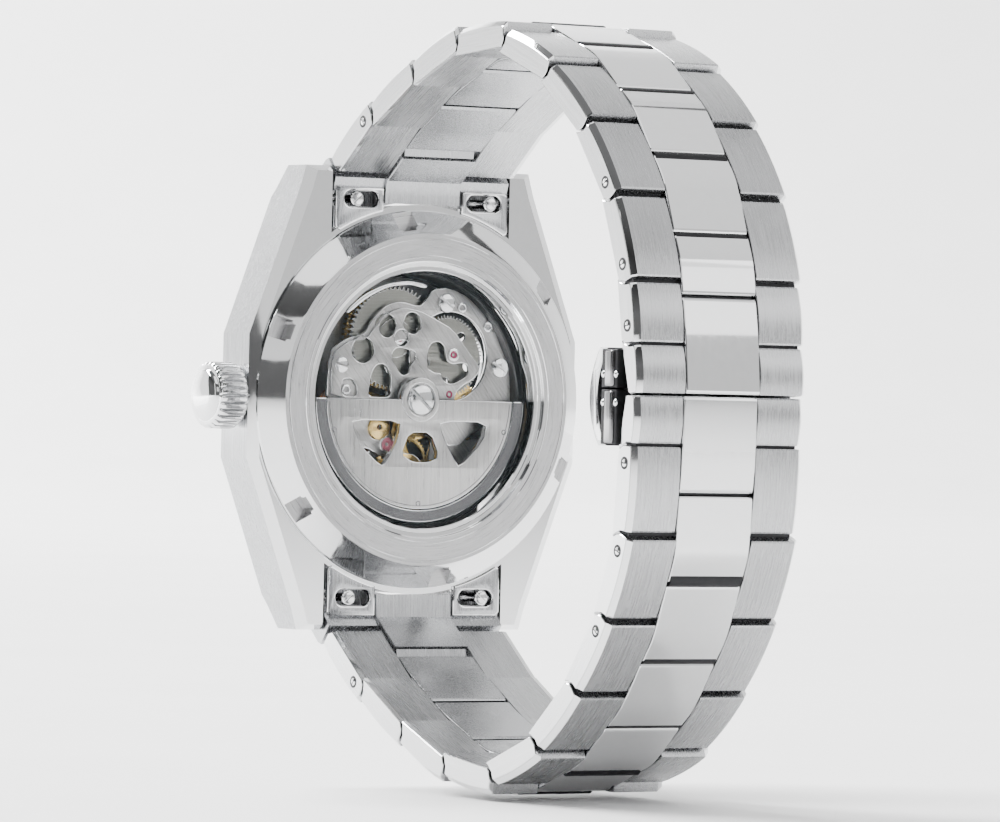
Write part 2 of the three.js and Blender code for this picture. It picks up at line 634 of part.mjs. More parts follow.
function claspArm(hingeZ, pivotZ) {
  const c = CLASP;
  const [y0, z0, y1, z1] = [c.hingeY, hingeZ, c.pivotY, pivotZ];
  const bend = [THREE.MathUtils.lerp(y0, y1, 0.3), THREE.MathUtils.lerp(z0, z1, 0.3)];
  const cheek = armSection([y0, z0], bend, c.armThickness);
  const cheeks = both((s) => bar(cheek, ...span(s, c.armInner, c.armHalf)));
  const blade = bar(armSection(bend, [y1, z1], c.armThickness), -c.armHalf, c.armHalf);
  return join(cheeks, blade, pin(c.knuckle, -c.armHalf, c.armHalf, y1, z1, 16));
}

function claspSpine() {
  const c = CLASP;
  const middle = (c.plateTop + c.plateBottom) / 2;
  const crescent = outline([
    [c.plateEdge, c.plateTop], [c.plateEdge - 1.4, c.plateTop - 1.1], [c.plateBack + 1.65, middle + 1.6],
    [c.plateBack + 1.65, middle - 1.6], [c.plateEdge - 1.4, c.plateBottom + 1.1], [c.plateEdge, c.plateBottom],
    [c.plateEdge - 1.2, c.plateBottom - 0.1], [c.plateBack + 0.5, middle - 3.4], [c.plateBack, middle - 1.4],
    [c.plateBack, middle + 1.4], [c.plateBack + 0.5, middle + 3.4], [c.plateEdge - 1.2, c.plateTop + 0.1],
  ]);
  const strip = (z0, z1, half) => bar(outline([
    [c.hingeY - c.stripThick, z0], [c.hingeY - c.stripThick, z1], [c.hingeY, z1], [c.hingeY, z0],
  ]), -half, half);
  const knuckleHalf = c.armInner - GAP;
  return join(bar(crescent, -c.plateHalf, c.plateHalf),
    strip(c.lowerHingeZ + c.stripShort, c.upperHingeZ - c.stripShort, c.stripHalf),
    strip(c.lowerHingeZ, c.upperHingeZ, knuckleHalf),
    pin(c.knuckle, -knuckleHalf, knuckleHalf, c.hingeY, c.upperHingeZ, 16),
    pin(c.knuckle, -knuckleHalf, knuckleHalf, c.hingeY, c.lowerHingeZ, 16));
}

// The two ears under a clasp end that hold its arm.
function claspEars(pivotZ) {
  const c = CLASP;
  const ear = armSection([c.pivotY, pivotZ], [c.pivotY + c.earLength, pivotZ], c.earHalf);
  return both((s) => bar(ear, ...span(s, c.earFrom, c.earTo)));
}

function button(across, from, to) {
  const c = CLASP;
  return block(...span(across, c.buttonFrom, c.buttonTo), c.buttonFront, c.buttonBack, from, to);
}

// ---------------------------------------------------------------- bracelet and clasp, in place

for (const [half, side, name] of [[UPPER, 1, 'upper'], [LOWER, -1, 'lower']]) {
  piece(`end_link_${name}`, endLink(half, side), FINISH.brushed());
  for (const [across, hand] of [[1, 'right'], [-1, 'left']]) {
    piece(`release_pin_${name}_${hand}`, releasePin(across, side), FINISH.polished());
  }
  for (let i = 0; i < LAST; i += 1) {
    placed(piece(`link_${name}_${i + 1}`, link(half, i), FINISH.brushed()), linkFrame(half, i, side));
  }
  const frame = linkFrame(half, LAST, side);
  const pivotZ = side > 0 ? CLASP.upperPivotZ : CLASP.lowerPivotZ;
  const ears = claspEars(pivotZ).transform(new THREE.Matrix4().copy(frame).invert().elements);
  placed(piece(`clasp_end_${name}`, join(link(half, LAST), ears), FINISH.polished()), frame);
}

piece('clasp_arm_upper', claspArm(CLASP.upperHingeZ, CLASP.upperPivotZ), FINISH.brushed());
piece('clasp_arm_lower', claspArm(CLASP.lowerHingeZ, CLASP.lowerPivotZ), FINISH.brushed());
piece('clasp_spine', claspSpine(), FINISH.polished());
for (const [across, hand] of [[1, 'right'], [-1, 'left']]) {
  piece(`button_upper_${hand}`, button(across, CLASP.seam + 0.2, CLASP.plateTop - 0.1), FINISH.dark());
  piece(`button_lower_${hand}`, button(across, CLASP.plateBottom + 0.1, CLASP.seam - 0.2), FINISH.dark());
}

export default watch;
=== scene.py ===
"""Skeleton wristwatch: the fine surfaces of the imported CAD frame, with studio light and a camera.

Sizes are in millimetres in the helpers below and become metres when a mesh is made.
+Z is 12 o'clock, +X is the crown side, and the caseback faces +Y.
"""
import json
import math

import bmesh
import bpy
from mathutils import Matrix, Vector


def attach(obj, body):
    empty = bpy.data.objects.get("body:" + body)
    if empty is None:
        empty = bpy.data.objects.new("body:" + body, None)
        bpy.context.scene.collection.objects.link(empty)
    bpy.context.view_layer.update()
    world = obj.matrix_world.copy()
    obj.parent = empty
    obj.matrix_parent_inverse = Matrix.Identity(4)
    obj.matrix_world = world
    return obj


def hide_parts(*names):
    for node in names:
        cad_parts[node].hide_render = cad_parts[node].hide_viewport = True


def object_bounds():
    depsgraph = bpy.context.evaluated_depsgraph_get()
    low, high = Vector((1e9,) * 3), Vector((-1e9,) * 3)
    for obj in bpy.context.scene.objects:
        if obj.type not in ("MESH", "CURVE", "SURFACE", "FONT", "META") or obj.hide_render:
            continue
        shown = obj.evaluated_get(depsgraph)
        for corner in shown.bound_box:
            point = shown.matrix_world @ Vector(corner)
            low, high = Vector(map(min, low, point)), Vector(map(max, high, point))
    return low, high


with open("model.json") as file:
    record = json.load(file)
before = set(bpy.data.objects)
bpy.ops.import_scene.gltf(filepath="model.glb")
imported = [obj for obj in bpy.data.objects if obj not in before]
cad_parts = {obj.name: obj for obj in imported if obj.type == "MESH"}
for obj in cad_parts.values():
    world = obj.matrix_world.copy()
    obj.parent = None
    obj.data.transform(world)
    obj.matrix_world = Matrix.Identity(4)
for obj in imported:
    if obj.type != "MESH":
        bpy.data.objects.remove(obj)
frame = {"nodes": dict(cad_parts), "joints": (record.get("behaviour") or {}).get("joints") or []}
CAD_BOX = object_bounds()

MM = 0.001
WELD = 1e-5  # points nearer than this, in millimetres, become one
FLAT = 0.99  # how much of a normal points along Y on a plate's flat faces
TAU = 2 * math.pi
scene = bpy.context.scene
JOINTS = {joint["name"]: joint for joint in frame["joints"]}


def pivot(joint):
    """A hinge's place in millimetres."""
    return Vector(JOINTS[joint]["pos_m"]) / MM


# ---------------------------------------------------------------- materials

class Graph:
    """A short way to add, fill and link the shader nodes of a material or a world."""

    def __init__(self, owner, root="Principled BSDF"):
        owner.use_nodes = True
        self.owner = owner
        self.tree = owner.node_tree
        self.shader = self.tree.nodes[root]

    def add(self, kind, sockets=None, **values):
        node = self.tree.nodes.new(kind)
        for key, value in values.items():
            setattr(node, key, value)
        return self.fill(node, sockets or {})

    def fill(self, node, sockets):
        for name, value in sockets.items():
            node.inputs[name].default_value = value
        return node

    def link(self, output, socket):
        self.tree.links.new(output, socket)

    def math(self, operation, first, second=None):
        node = self.add("ShaderNodeMath", operation=operation)
        for socket, value in zip(node.inputs, (first, second)):
            if isinstance(value, (int, float)):
                socket.default_value = value
            elif value is not None:
                self.link(value, socket)
        return node.outputs[0]

    def ramp(self, source, stops, socket):
        """Colours at places along a source, linked to a socket."""
        node = self.add("ShaderNodeValToRGB")
        elements = node.color_ramp.elements
        while len(elements) < len(stops):
            elements.new(0.5)
        for element, (place, color) in zip(elements, stops):
            element.position = place
            element.color = (*color, 1)
        self.link(source, node.inputs[0])
        self.link(node.outputs[0], socket)

    def remap(self, source, low, high, to_low, to_high):
        node = self.add("ShaderNodeMapRange",
                        {"From Min": low, "From Max": high, "To Min": to_low, "To Max": to_high})
        self.link(source, node.inputs["Value"])
        return node.outputs[0]

    def noise(self, vector, scale, detail, roughness=0.6):
        node = self.add("ShaderNodeTexNoise", {"Scale": scale, "Detail": detail, "Roughness": roughness})
        self.link(vector, node.inputs["Vector"])
        return node.outputs["Fac"]

    def bump(self, height, strength, distance_mm):
        node = self.add("ShaderNodeBump", {"Strength": strength, "Distance": distance_mm * MM})
        self.link(height, node.inputs["Height"])
        self.link(node.outputs[0], self.shader.inputs["Normal"])


def object_place(graph, turn=(0, 0, 0), stretch=(1, 1, 1)):
    """Object coordinates in millimetres, turned and then stretched."""
    coordinates = graph.add("ShaderNodeTexCoord")
    mapping = graph.add("ShaderNodeMapping", {"Rotation": [math.radians(a) for a in turn],
                                              "Scale": [MM / s for s in stretch]}, vector_type="TEXTURE")
    graph.link(coordinates.outputs["Object"], mapping.inputs["Vector"])
    return mapping.outputs["Vector"]


def stretched(stretch, turn=(0, 0, 0)):
    """A grain along the object's own axes. Small numbers make it run long."""
    return lambda graph: object_place(graph, turn, stretch)


def round_place(graph, along=4.0, across=7):
    """Coordinates that run round the Y axis: fine across the radius, long round it."""
    coordinates = graph.add("ShaderNodeTexCoord")
    parts = graph.add("ShaderNodeSeparateXYZ")
    graph.link(coordinates.outputs["Object"], parts.inputs[0])
    x, z = (graph.math("DIVIDE", parts.outputs[i], MM) for i in (0, 2))
    square = graph.math("ADD", graph.math("MULTIPLY", x, x), graph.math("MULTIPLY", z, z))
    joined = graph.add("ShaderNodeCombineXYZ")
    graph.link(graph.math("MULTIPLY", graph.math("SQRT", square), across), joined.inputs[0])
    graph.link(graph.math("MULTIPLY", graph.math("ARCTAN2", z, x), along), joined.inputs[1])
    return joined.outputs[0]


DARK_AT, LIGHT_AT = 0.3, 0.7  # where a noise reaches its darkest and its lightest shade
SMUDGES = 0.15  # the share of faint wide smudges in a metal's grain


def metal(name, color, roughness, grain, spread, bump, place=object_place):
    """A metal with a grain in its colour, roughness and bump, and faint smudges over all of it."""
    graph = Graph(bpy.data.materials.new(name))
    sockets = graph.shader.inputs
    sockets["Metallic"].default_value = 1
    wide = graph.noise(object_place(graph), 0.35, 3)
    fine = graph.noise(place(graph), 1.0, 6, 0.7)
    mixed = graph.math("ADD", graph.math("MULTIPLY", fine, 1 - SMUDGES),
                       graph.math("MULTIPLY", wide, SMUDGES))
    graph.ramp(mixed, [(DARK_AT, [c * (1 - grain) for c in color]),
                       (LIGHT_AT, [min(1, c * (1 + grain)) for c in color])], sockets["Base Color"])
    rough = graph.remap(mixed, DARK_AT, LIGHT_AT, max(0.01, roughness - spread), roughness + spread)
    graph.link(rough, sockets["Roughness"])
    graph.bump(fine, bump, 0.02)
    return graph.owner


LINES = (6, 0.12, 6)
BRUSHED = metal("steel_brushed", (0.43, 0.434, 0.442), 0.27, 0.20, 0.07, 0.35, stretched(LINES))
BRUSHED_SIDE = metal("steel_side", (0.60, 0.605, 0.61), 0.17, 0.05, 0.04, 0.10, stretched(LINES))
BRUSHED_CASE = metal("steel_case", (0.42, 0.425, 0.435), 0.26, 0.20, 0.07, 0.35, stretched(LINES, (90, 0, 0)))
BRUSHED_ROUND = metal("steel_round", (0.46, 0.46, 0.465), 0.30, 0.24, 0.08, 0.4, round_place)
POLISHED = metal("steel_polished", (0.74, 0.745, 0.75), 0.06, 0.02, 0.025, 0.015)
DARK_POLISHED = metal("steel_dark_polished", (0.22, 0.22, 0.225), 0.12, 0.05, 0.04, 0.02)
# Near-black steel that is painted shade, for the gaps between bracelet pieces, the pin counterbores and the boxes
# round the clasp buttons.
GAP_SHADE = metal("painted_gap_shade", (0.035, 0.035, 0.037), 0.5, 0.2, 0.1, 0.1)
ROTOR = metal("rotor_brushed", (0.46, 0.455, 0.45), 0.33, 0.30, 0.10, 0.5, stretched((5, 5, 0.2)))
WEIGHT = metal("rotor_weight_grained", (0.16, 0.16, 0.165), 0.5, 0.5, 0.14, 0.9, stretched((5, 5, 5)))
BRIDGE = metal("bridge_brushed", (0.36, 0.357, 0.352), 0.34, 0.34, 0.11, 0.6,
               stretched((5, 5, 0.25), (0, 38, 0)))
WHEEL_STEEL = metal("wheel_steel", (0.22, 0.22, 0.20), 0.36, 0.08, 0.05, 0.1)
GILT = metal("gilt_brass", (0.78, 0.56, 0.22), 0.24, 0.08, 0.05, 0.1)
COPPER = metal("copper_rim", (0.80, 0.44, 0.27), 0.2, 0.06, 0.04, 0.05)
PLATE_DARK = metal("main_plate_grey", (0.20, 0.20, 0.195), 0.42, 0.25, 0.1, 0.4, stretched((3, 3, 3)))
BLUED = metal("steel_blued", (0.05, 0.09, 0.36), 0.2, 0.08, 0.04, 0.02)
# The two metals of a plate: its flat faces and its bevelled edges.
BRIDGE_PLATE = [BRIDGE, POLISHED]
STEEL_PLATE = [WHEEL_STEEL, POLISHED]
GILT_PLATE = [GILT, POLISHED]


def clouded(name, dark, light, scale, detail, sockets, bump=0):
    """A material that isn't a metal, whose colour drifts between two shades."""
    graph = Graph(bpy.data.materials.new(name))
    cloud = graph.noise(object_place(graph), scale, detail)
    graph.ramp(cloud, [(DARK_AT, dark), (LIGHT_AT, light)], graph.shader.inputs["Base Color"])
    graph.fill(graph.shader, sockets)
    if bump:
        graph.bump(cloud, bump, 0.01)
    return graph.owner


JEWEL = {"Roughness": 0.04, "IOR": 1.76, "Coat Weight": 0.6}
BLACK = clouded("movement_black", (0.0096, 0.0096, 0.0104), (0.015, 0.015, 0.01625), 7, 4,
                {"Roughness": 0.38}, 0.3)
WHITE_PRINT = clouded("dial_print", (0.6, 0.6, 0.592), (0.9375, 0.9375, 0.925), 7, 4, {"Roughness": 0.5}, 0.1)
RUBY = clouded("jewel_ruby", (0.231, 0.011, 0.055), (0.42, 0.02, 0.10), 2.5, 3, JEWEL)
PINK = clouded("jewel_pink", (0.396, 0.121, 0.165), (0.72, 0.22, 0.30), 2.5, 3, JEWEL)
SAPPHIRE = clouded("sapphire_clear", (0.10, 0.13, 0.14), (0.14, 0.17, 0.18), 0.25, 3,
                   {"Roughness": 0.02, "IOR": 1.5, "Alpha": 0.05})
PAPER = clouded("studio_paper", (0.9021, 0.9021, 0.9021), (0.93, 0.93, 0.93), 0.02, 3, {"Roughness": 0.6})


# ---------------------------------------------------------------- mesh helpers

def shade(mesh, angle):
    """Smooth shading, with sharp edges where faces meet at more than an angle in degrees."""
    for polygon in mesh.polygons:
        polygon.use_smooth = True
    mesh.set_sharp_from_angle(angle=math.radians(angle))


def loose(name, builder, materials):
    """An object from a bmesh in millimetres, which rides on nothing yet."""
    bmesh.ops.recalc_face_normals(builder, faces=builder.faces)
    mesh = bpy.data.meshes.new(name)
    builder.to_mesh(mesh)
    builder.free()
    mesh.transform(Matrix.Scale(MM, 4))
    for material in materials:
        mesh.materials.append(material)
    piece = bpy.data.objects.new(name, mesh)
    scene.collection.objects.link(piece)
    return piece


def publish(name, builder, materials, smooth=32, body="case", stands_for=(), place=None):
    """Makes a piece from a bmesh in millimetres, which then rides on a CAD body."""
    bmesh.ops.remove_doubles(builder, verts=builder.verts, dist=WELD)
    piece = loose(name, builder, materials)
    shade(piece.data, smooth)
    if place is not None:
        piece.matrix_world = place
    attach(piece, body)
    if stands_for:
        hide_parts(*stands_for)
    return piece


def skin(builder, sections, bands=None):
    """Skins rings of equally many points, and caps both ends. A band is the material between two rings."""
    rings = [[builder.verts.new(point) for point in section] for section in sections]
    bands = bands or [0] * (len(rings) - 1)
    for low, high, material in zip(rings, rings[1:], bands):
        for i in range(len(low)):
            j = (i + 1) % len(low)
            builder.faces.new((low[i], low[j], high[j], high[i])).material_index = material
    for ring, material in ((rings[0], bands[0]), (rings[-1], bands[-1])):
        builder.faces.new(ring).material_index = material


def turned(builder, section, sides, centre=(0, 0), axis="Y"):
    """Revolves (radius, height) points about Y or X. Points at radius 0 close on the axis."""
    loops = []
    for radius, height in section:
        ring = []
        for i in range(1 if radius == 0 else sides):
            a = TAU * i / sides
            u, v = centre[0] + radius * math.cos(a), centre[1] + radius * math.sin(a)
            ring.append(builder.verts.new((u, height, v) if axis == "Y" else (height, u, v)))
        loops.append(ring)
    closing = [(loops[-1], loops[0])] if section[0][0] > 0 else []
    for low, high in list(zip(loops, loops[1:])) + closing:
        for i in range(sides):
            j = (i + 1) % sides
            corners = [low[i % len(low)], low[j % len(low)], high[j % len(high)], high[i % len(high)]]
            corners = list(dict.fromkeys(corners))
            if len(corners) > 2:
                builder.faces.new(corners)


def rod(radius, low, high):
    """The section of a plain cylinder, for turned."""
    return [(0, low), (radius, low), (radius, high), (0, high)]


def lathed(name, section, sides, materials, smooth=30, body="case", stands_for=(), centre=(0, 0), axis="Y",
           place=None):
    """A piece made of one turned section."""
    builder = bmesh.new()
    turned(builder, section, sides, centre, axis)
    return publish(name, builder, materials, smooth, body, stands_for, place)


def cutter(material, section, sides, centre=(0, 0), axis="Y"):
    """A turned helper object for carving."""
    builder = bmesh.new()
    turned(builder, section, sides, centre, axis)
    return loose("cutter", builder, [material])


def oval(x, z, rx, rz, turn=0, sides=40):
    a = math.radians(turn)
    points = []
    for i in range(sides):
        u, v = rx * math.cos(TAU * i / sides), rz * math.sin(TAU * i / sides)
        points.append((x + u * math.cos(a) - v * math.sin(a), z + u * math.sin(a) + v * math.cos(a)))
    return points


def circle(x, z, radius, sides=48):
    return oval(x, z, radius, radius, 0, sides)


def arc(x, z, radius, start, end, steps=24):
    """Points on an arc, with its angles in degrees."""
    angles = [math.radians(start + (end - start) * i / steps) for i in range(steps + 1)]
    return [(x + radius * math.cos(a), z + radius * math.sin(a)) for a in angles]


def gear(x, z, tip, teeth, depth):
    """The outline of a wheel with cut teeth."""
    points = []
    root = tip - depth
    for i in range(teeth):
        for share, radius in ((0.0, root), (0.22, root), (0.38, tip), (0.62, tip), (0.80, root)):
            a = TAU * (i + share) / teeth
            points.append((x + radius * math.cos(a), z + radius * math.sin(a)))
    return points


def softened(points, rounds=2):
    """A smooth closed outline through given corners (corner cutting)."""
    for _ in range(rounds):
        cut = []
        for (ax, az), (bx, bz) in zip(points, points[1:] + points[:1]):
            cut.append((0.8 * ax + 0.2 * bx, 0.8 * az + 0.2 * bz))
            cut.append((0.2 * ax + 0.8 * bx, 0.2 * az + 0.8 * bz))
        points = cut
    return points


def plate(name, outlines, back, front, materials, bevel=0.06, body="case", stands_for=(), place=None):
    """A flat plate in X and Z with bevelled edges, from one outline and its holes."""
    curve = bpy.data.curves.new("outline", "CURVE")
    curve.dimensions = "2D"
    curve.fill_mode = "BOTH"
    for points in outlines:
        spline = curve.splines.new("POLY")
        spline.points.add(len(points) - 1)
        for target, (x, z) in zip(spline.points, points):
            target.co = (x, z, 0, 1)
        spline.use_cyclic_u = True
    curve.extrude = (back - front) / 2 - bevel
    curve.bevel_depth = bevel
    curve.bevel_resolution = 1
    curve.offset = -bevel
    shape = bpy.data.objects.new("outline", curve)
    scene.collection.objects.link(shape)
    bpy.context.view_layer.update()
    mesh = bpy.data.meshes.new_from_object(shape.evaluated_get(bpy.context.evaluated_depsgraph_get()))
    bpy.data.objects.remove(shape)
    bpy.data.curves.remove(curve)
    builder = bmesh.new()
    builder.from_mesh(mesh)
    bpy.data.meshes.remove(mesh)
    bmesh.ops.remove_doubles(builder, verts=builder.verts, dist=10 * WELD)
    lie = Matrix.Translation((0, (back + front) / 2, 0)) @ Matrix.Rotation(math.pi / 2, 4, "X")
    bmesh.ops.transform(builder, matrix=lie, verts=builder.verts)
    bmesh.ops.recalc_face_normals(builder, faces=builder.faces)
    for face in builder.faces:
        face.material_index = 0 if abs(face.normal.y) > FLAT else 1
    return publish(name, builder, materials, 32, body, stands_for, place)


def slotted_head(name, x, z, radius, back, depth, body="case", turn=0.0):
    """A polished screw head with a rounded rim and a cut slot, facing +Y."""
    builder = bmesh.new()
    slot = radius * 0.13
    rim = radius * 0.16
    floor = back - depth * 0.45
    turned(builder, rod(radius, back - depth, floor), 40)
    reach = math.asin(slot / radius)
    for side in (1, -1):
        halves = []
        for level, radial in ((floor, radius), (back - rim, radius), (back - 0.3 * rim, radius - 0.3 * rim),
                              (back, radius - rim)):
            angles = [reach + (math.pi - 2 * reach) * i / 24 for i in range(25)]
            halves.append([(radial * math.cos(a), level, side * max(slot, radial * math.sin(a)))
                           for a in angles])
        skin(builder, halves)
    place = Matrix.Translation((x, 0, z)) @ Matrix.Rotation(math.radians(turn), 4, "Y")
    bmesh.ops.transform(builder, matrix=place, verts=builder.verts)
    return publish(name, builder, [POLISHED], 40, body)


def carve(piece, cutters):
    """Cuts other closed meshes out of a piece's mesh, and removes them."""
    for tool in cutters:
        modifier = piece.modifiers.new("cut", "BOOLEAN")
        modifier.operation = "DIFFERENCE"
        modifier.solver = "EXACT"
        modifier.object = tool
    bpy.context.view_layer.update()
    mesh = bpy.data.meshes.new_from_object(piece.evaluated_get(bpy.context.evaluated_depsgraph_get()))
    piece.modifiers.clear()
    old = piece.data
    piece.data = mesh
    bpy.data.meshes.remove(old)
    for tool in cutters:
        bpy.data.objects.remove(tool)
    shade(mesh, 30)


def block(low, high, place=Matrix.Identity(4)):
    builder = bmesh.new()
    bmesh.ops.create_cube(builder, size=1)
    size = Vector(high) - Vector(low)
    middle = (Vector(high) + Vector(low)) / 2
    matrix = place @ Matrix.Translation(middle) @ Matrix.Diagonal((*size, 1))
    bmesh.ops.transform(builder, matrix=matrix, verts=builder.verts)
    return builder


# ---------------------------------------------------------------- bracelet

BRACELET = {
    "width": 21.8, "clasp": 20.2, "centre_lug": 4.66, "centre_clasp": 4.42, "half_thickness": 1.4,
    "pin_to_seam": 1.9, "seam": 0.14, "centre_reach": 2.7, "centre_gap": 0.38, "crown": 0.24, "chamfer": 0.55,
    "clasp_end": 4.8, "clasp_meet": 0.03, "end_recess": 0.6, "row_gap": 0.07, "hollow_end": 1.93,
    "round_end": 1.78, "end_slope": 0.1,
}
LAST = 9  # the clasp end's number in its chain. The links are 0 to 8.
CHAINS = {
    "upper": {"pins": ["bracelet_unfold"] + [f"link_hinge_upper_{i}" for i in range(2, 10)], "side": 1,
              "clasp_lie": -84},
    "lower": {"pins": [f"link_hinge_lower_{i}" for i in range(1, 10)], "side": -1, "clasp_lie": -88},
}
PINNED = (1, 7, 8, 9)  # the pieces that show a screwed pin in their side, counted from 1
for name, chain in CHAINS.items():
    chain["pins"].append(f"clasp_end_hinge_{name}")
SIDES = ((1, "right"), (-1, "left"))


def piece_node(name, i):
    return f"link_{name}_{i + 1}" if i < LAST else f"clasp_end_{name}"


def tapered(i, at_lug, at_clasp):
    """A width that narrows evenly from the case to the clasp."""
    return BRACELET[at_lug] + (BRACELET[at_clasp] - BRACELET[at_lug]) * i / LAST


def link_place(chain, i):
    """The frame at pin i (X across, Y along the link to the clasp, Z outwards), and the pitch."""
    here = pivot(chain["pins"][i])
    if i < LAST:
        step = pivot(chain["pins"][i + 1]) - here
        pitch = step.length
        along = step.normalized()
    else:
        a = math.radians(chain["clasp_lie"])
        along = Vector((0, math.cos(a), chain["side"] * math.sin(a)))
        pitch = BRACELET["clasp_end"]
    out = Vector((0, -along.z, along.y)) * chain["side"]
    across = along.cross(out)
    place = Matrix((across, along, out)).transposed().to_4x4()
    place.translation = here
    return place, pitch


def metres(place):
    """The same placing for a mesh that is already in metres."""
    moved = place.copy()
    moved.translation = place.translation * MM
    return moved


def crowned(start, end, height, crown, steps=8, edge=0.16, drop=0.1):
    """Points along a lengthwise curved face, from start to end, with its ends eased over."""
    points = [(start, height - crown - drop)]
    for i in range(steps + 1):
        s = -1 + 2 * i / steps
        y = (start + end) / 2 + s * ((end - start) / 2 - edge)
        points.append((y, height - crown * s * s))
    points.append((end, height - crown - drop))
    return points


def nested_end(pin_y, flat, radius, half, level=-0.2, steps=5):
    """Down an end face: flat at first, and then round about the pin at pin_y."""
    points = [(pin_y + flat, level)]
    first = math.asin(level / radius)
    last = math.asin(-half / radius)
    for i in range(1, steps + 1):
        a = first + (last - first) * i / steps
        points.append((pin_y + radius * math.cos(a), radius * math.sin(a)))
    return points


def outer_profile(i, pitch, drop=0.0, inset=0.0):
    """The side view of an outer piece, as (along, out) points, the same count for every inset."""
    h = BRACELET["half_thickness"]
    seam = BRACELET["seam"]
    bottom = -h + inset
    start = (-1.8 if i == 0 else BRACELET["pin_to_seam"] + seam) + inset
    if i == LAST:
        end = BRACELET["pin_to_seam"] + BRACELET["clasp_end"] + BRACELET["clasp_meet"] - inset
        tail = [(end, 0.2 - 0.12 * k) for k in range(5)] + [(end - BRACELET["end_slope"], -0.55 + inset)]
    else:
        tail = nested_end(pitch, BRACELET["pin_to_seam"] - seam - inset, BRACELET["round_end"] - inset, -bottom)
        end = tail[0][0]
    top = crowned(start, end, h + 0.08 - drop, BRACELET["crown"])
    if i == 0:
        head = [(start, 0.5 - 0.3 * k) for k in range(5)] + [(start + 0.5, bottom)]
    else:
        head = nested_end(0, BRACELET["pin_to_seam"] + seam + inset, BRACELET["hollow_end"] + inset, -bottom)
    return top + tail + head[::-1]


def outer_pair(node, i, place, pitch):
    """The two brushed outer pieces of a link, with a polished chamfer along their outer edges."""
    builder = bmesh.new()
    inner = tapered(i, "centre_lug", "centre_clasp") + BRACELET["row_gap"]
    outer = tapered(i, "width", "clasp") / 2
    c = BRACELET["chamfer"]
    stations = [(inner, 0.06, 0.06), (inner + 0.06, 0, 0), (outer - c, 0, 0), (outer - 0.08, 0.82 * c, 0.02),
                (outer, c, 0.1)]
    for side in (1, -1):
        skin(builder, [[(side * x, y, z) for y, z in outer_profile(i, pitch, drop, inset)]
                       for x, drop, inset in stations], [0, 0, 1, 2])
    publish(node + "_outers", builder, [BRUSHED, POLISHED, BRUSHED_SIDE], 14, node, [node], metres(place))


def bent(chain, i, y, z):
    """A point beside pin i, on a line that bends at the pin from the last link's lie to this one's."""
    place, _ = link_place(chain, i)
    own = place.col[1].xyz
    before = link_place(chain, i - 1)[0].col[1].xyz
    half = 1.1
    if abs(y) >= half:
        run = own if y > 0 else before
        middle = run * y
    else:
        t = (y + half) / (2 * half)
        middle = before * (-half * (1 - t) ** 2) + own * (half * t * t)
        run = (before * (1 - t) + own * t).normalized()
    out = Vector((0, -run.z, run.y)) * chain["side"]
    return place.translation + middle + out * z


def centre_piece(name, body, chain, i, end):
    """A polished centre piece, half a link nearer the case than its outer pieces, bent to lie flush."""
    half = tapered(i, "centre_lug", "centre_clasp")
    high = BRACELET["half_thickness"] + 0.1
    deep = high - (BRACELET["end_recess"] if i == LAST else 0)
    start = -BRACELET["centre_reach"]
    ys = [start + (end - start) * k / 18 for k in range(19)]
    ys += [start + 0.12, start + 0.3, end - 0.3, end - 0.12]
    ys = sorted(set(round(y, 4) for y in ys))
    builder = bmesh.new()
    sections = []
    for x, inset in ((-half, 0.12), (-half + 0.03, 0.05), (-half + 0.12, 0), (half - 0.12, 0),
                     (half - 0.03, 0.05), (half, 0.12)):
        top, low = [], []
        for y in ys:
            s = (y - (start + end) / 2) / ((end - start) / 2)
            ease = max(0.0, abs(s) - 0.93) / 0.07
            drop = 0.16 * ease * ease + 0.07 * s * s
            run = y - inset * s
            top.append(bent(chain, i, run, high - drop - inset))
            low.append(bent(chain, i, run, -deep + drop + inset))
        sections.append([(x, p.y, p.z) for p in top + low[::-1]])
    skin(builder, sections)
    count = len(ys)
    builder.verts.index_update()
    for face in builder.faces:  # the faces between underside points are brushed
        if all(v.index % (2 * count) >= count for v in face.verts):
            face.material_index = 1
    publish(name, builder, [POLISHED, BRUSHED_CASE], 14, body)


PIN = {"bore": 0.64, "head": 0.38, "rim": 0.06, "half_slot": 0.07, "level": -0.15}


def pin_head(name, body, place, pitch, x):
    """A slotted pin head in a counterbore whose near-black colour is painted shade, on the side face of an outer
    piece.
    """
    level = PIN["level"]
    lathed(name + "_bore", rod(PIN["bore"], x - 0.3, x + 0.01), 28, [GAP_SHADE], 30, body, (), (pitch, level), "X",
           metres(place))
    head = bmesh.new()
    angles = [0.18 + 2.78 * k / 14 for k in range(15)]
    faces = ((x - 0.02, PIN["head"]), (x + 0.03, PIN["head"]), (x + 0.06, PIN["head"] - PIN["rim"]))
    for side in (1, -1):
        skin(head, [[(face, pitch + side * max(PIN["half_slot"], radial * math.sin(a)),
                      level + radial * math.cos(a)) for a in angles] for face, radial in faces])
    publish(name + "_pin", head, [POLISHED], 30, body, (), metres(place))


for name, chain in CHAINS.items():
    for i in range(LAST + 1):
        place, pitch = link_place(chain, i)
        node = piece_node(name, i)
        outer_pair(node, i, place, pitch)
        if i > 0:
            end = (BRACELET["pin_to_seam"] + pitch + BRACELET["clasp_meet"] if i == LAST else
                   pitch - BRACELET["centre_reach"] - BRACELET["centre_gap"])
            centre_piece(node + "_centre", node, chain, i, end)
        if i + 1 in PINNED:
            about = Matrix.Rotation(math.pi, 4, "Z") @ Matrix.Translation((0, -2 * pitch, 0))
            for side, word in SIDES:
                pin_head(f"{node}_pin_{word}", node, place if side > 0 else place @ about, pitch,
                         tapered(i, "width", "clasp") / 2)
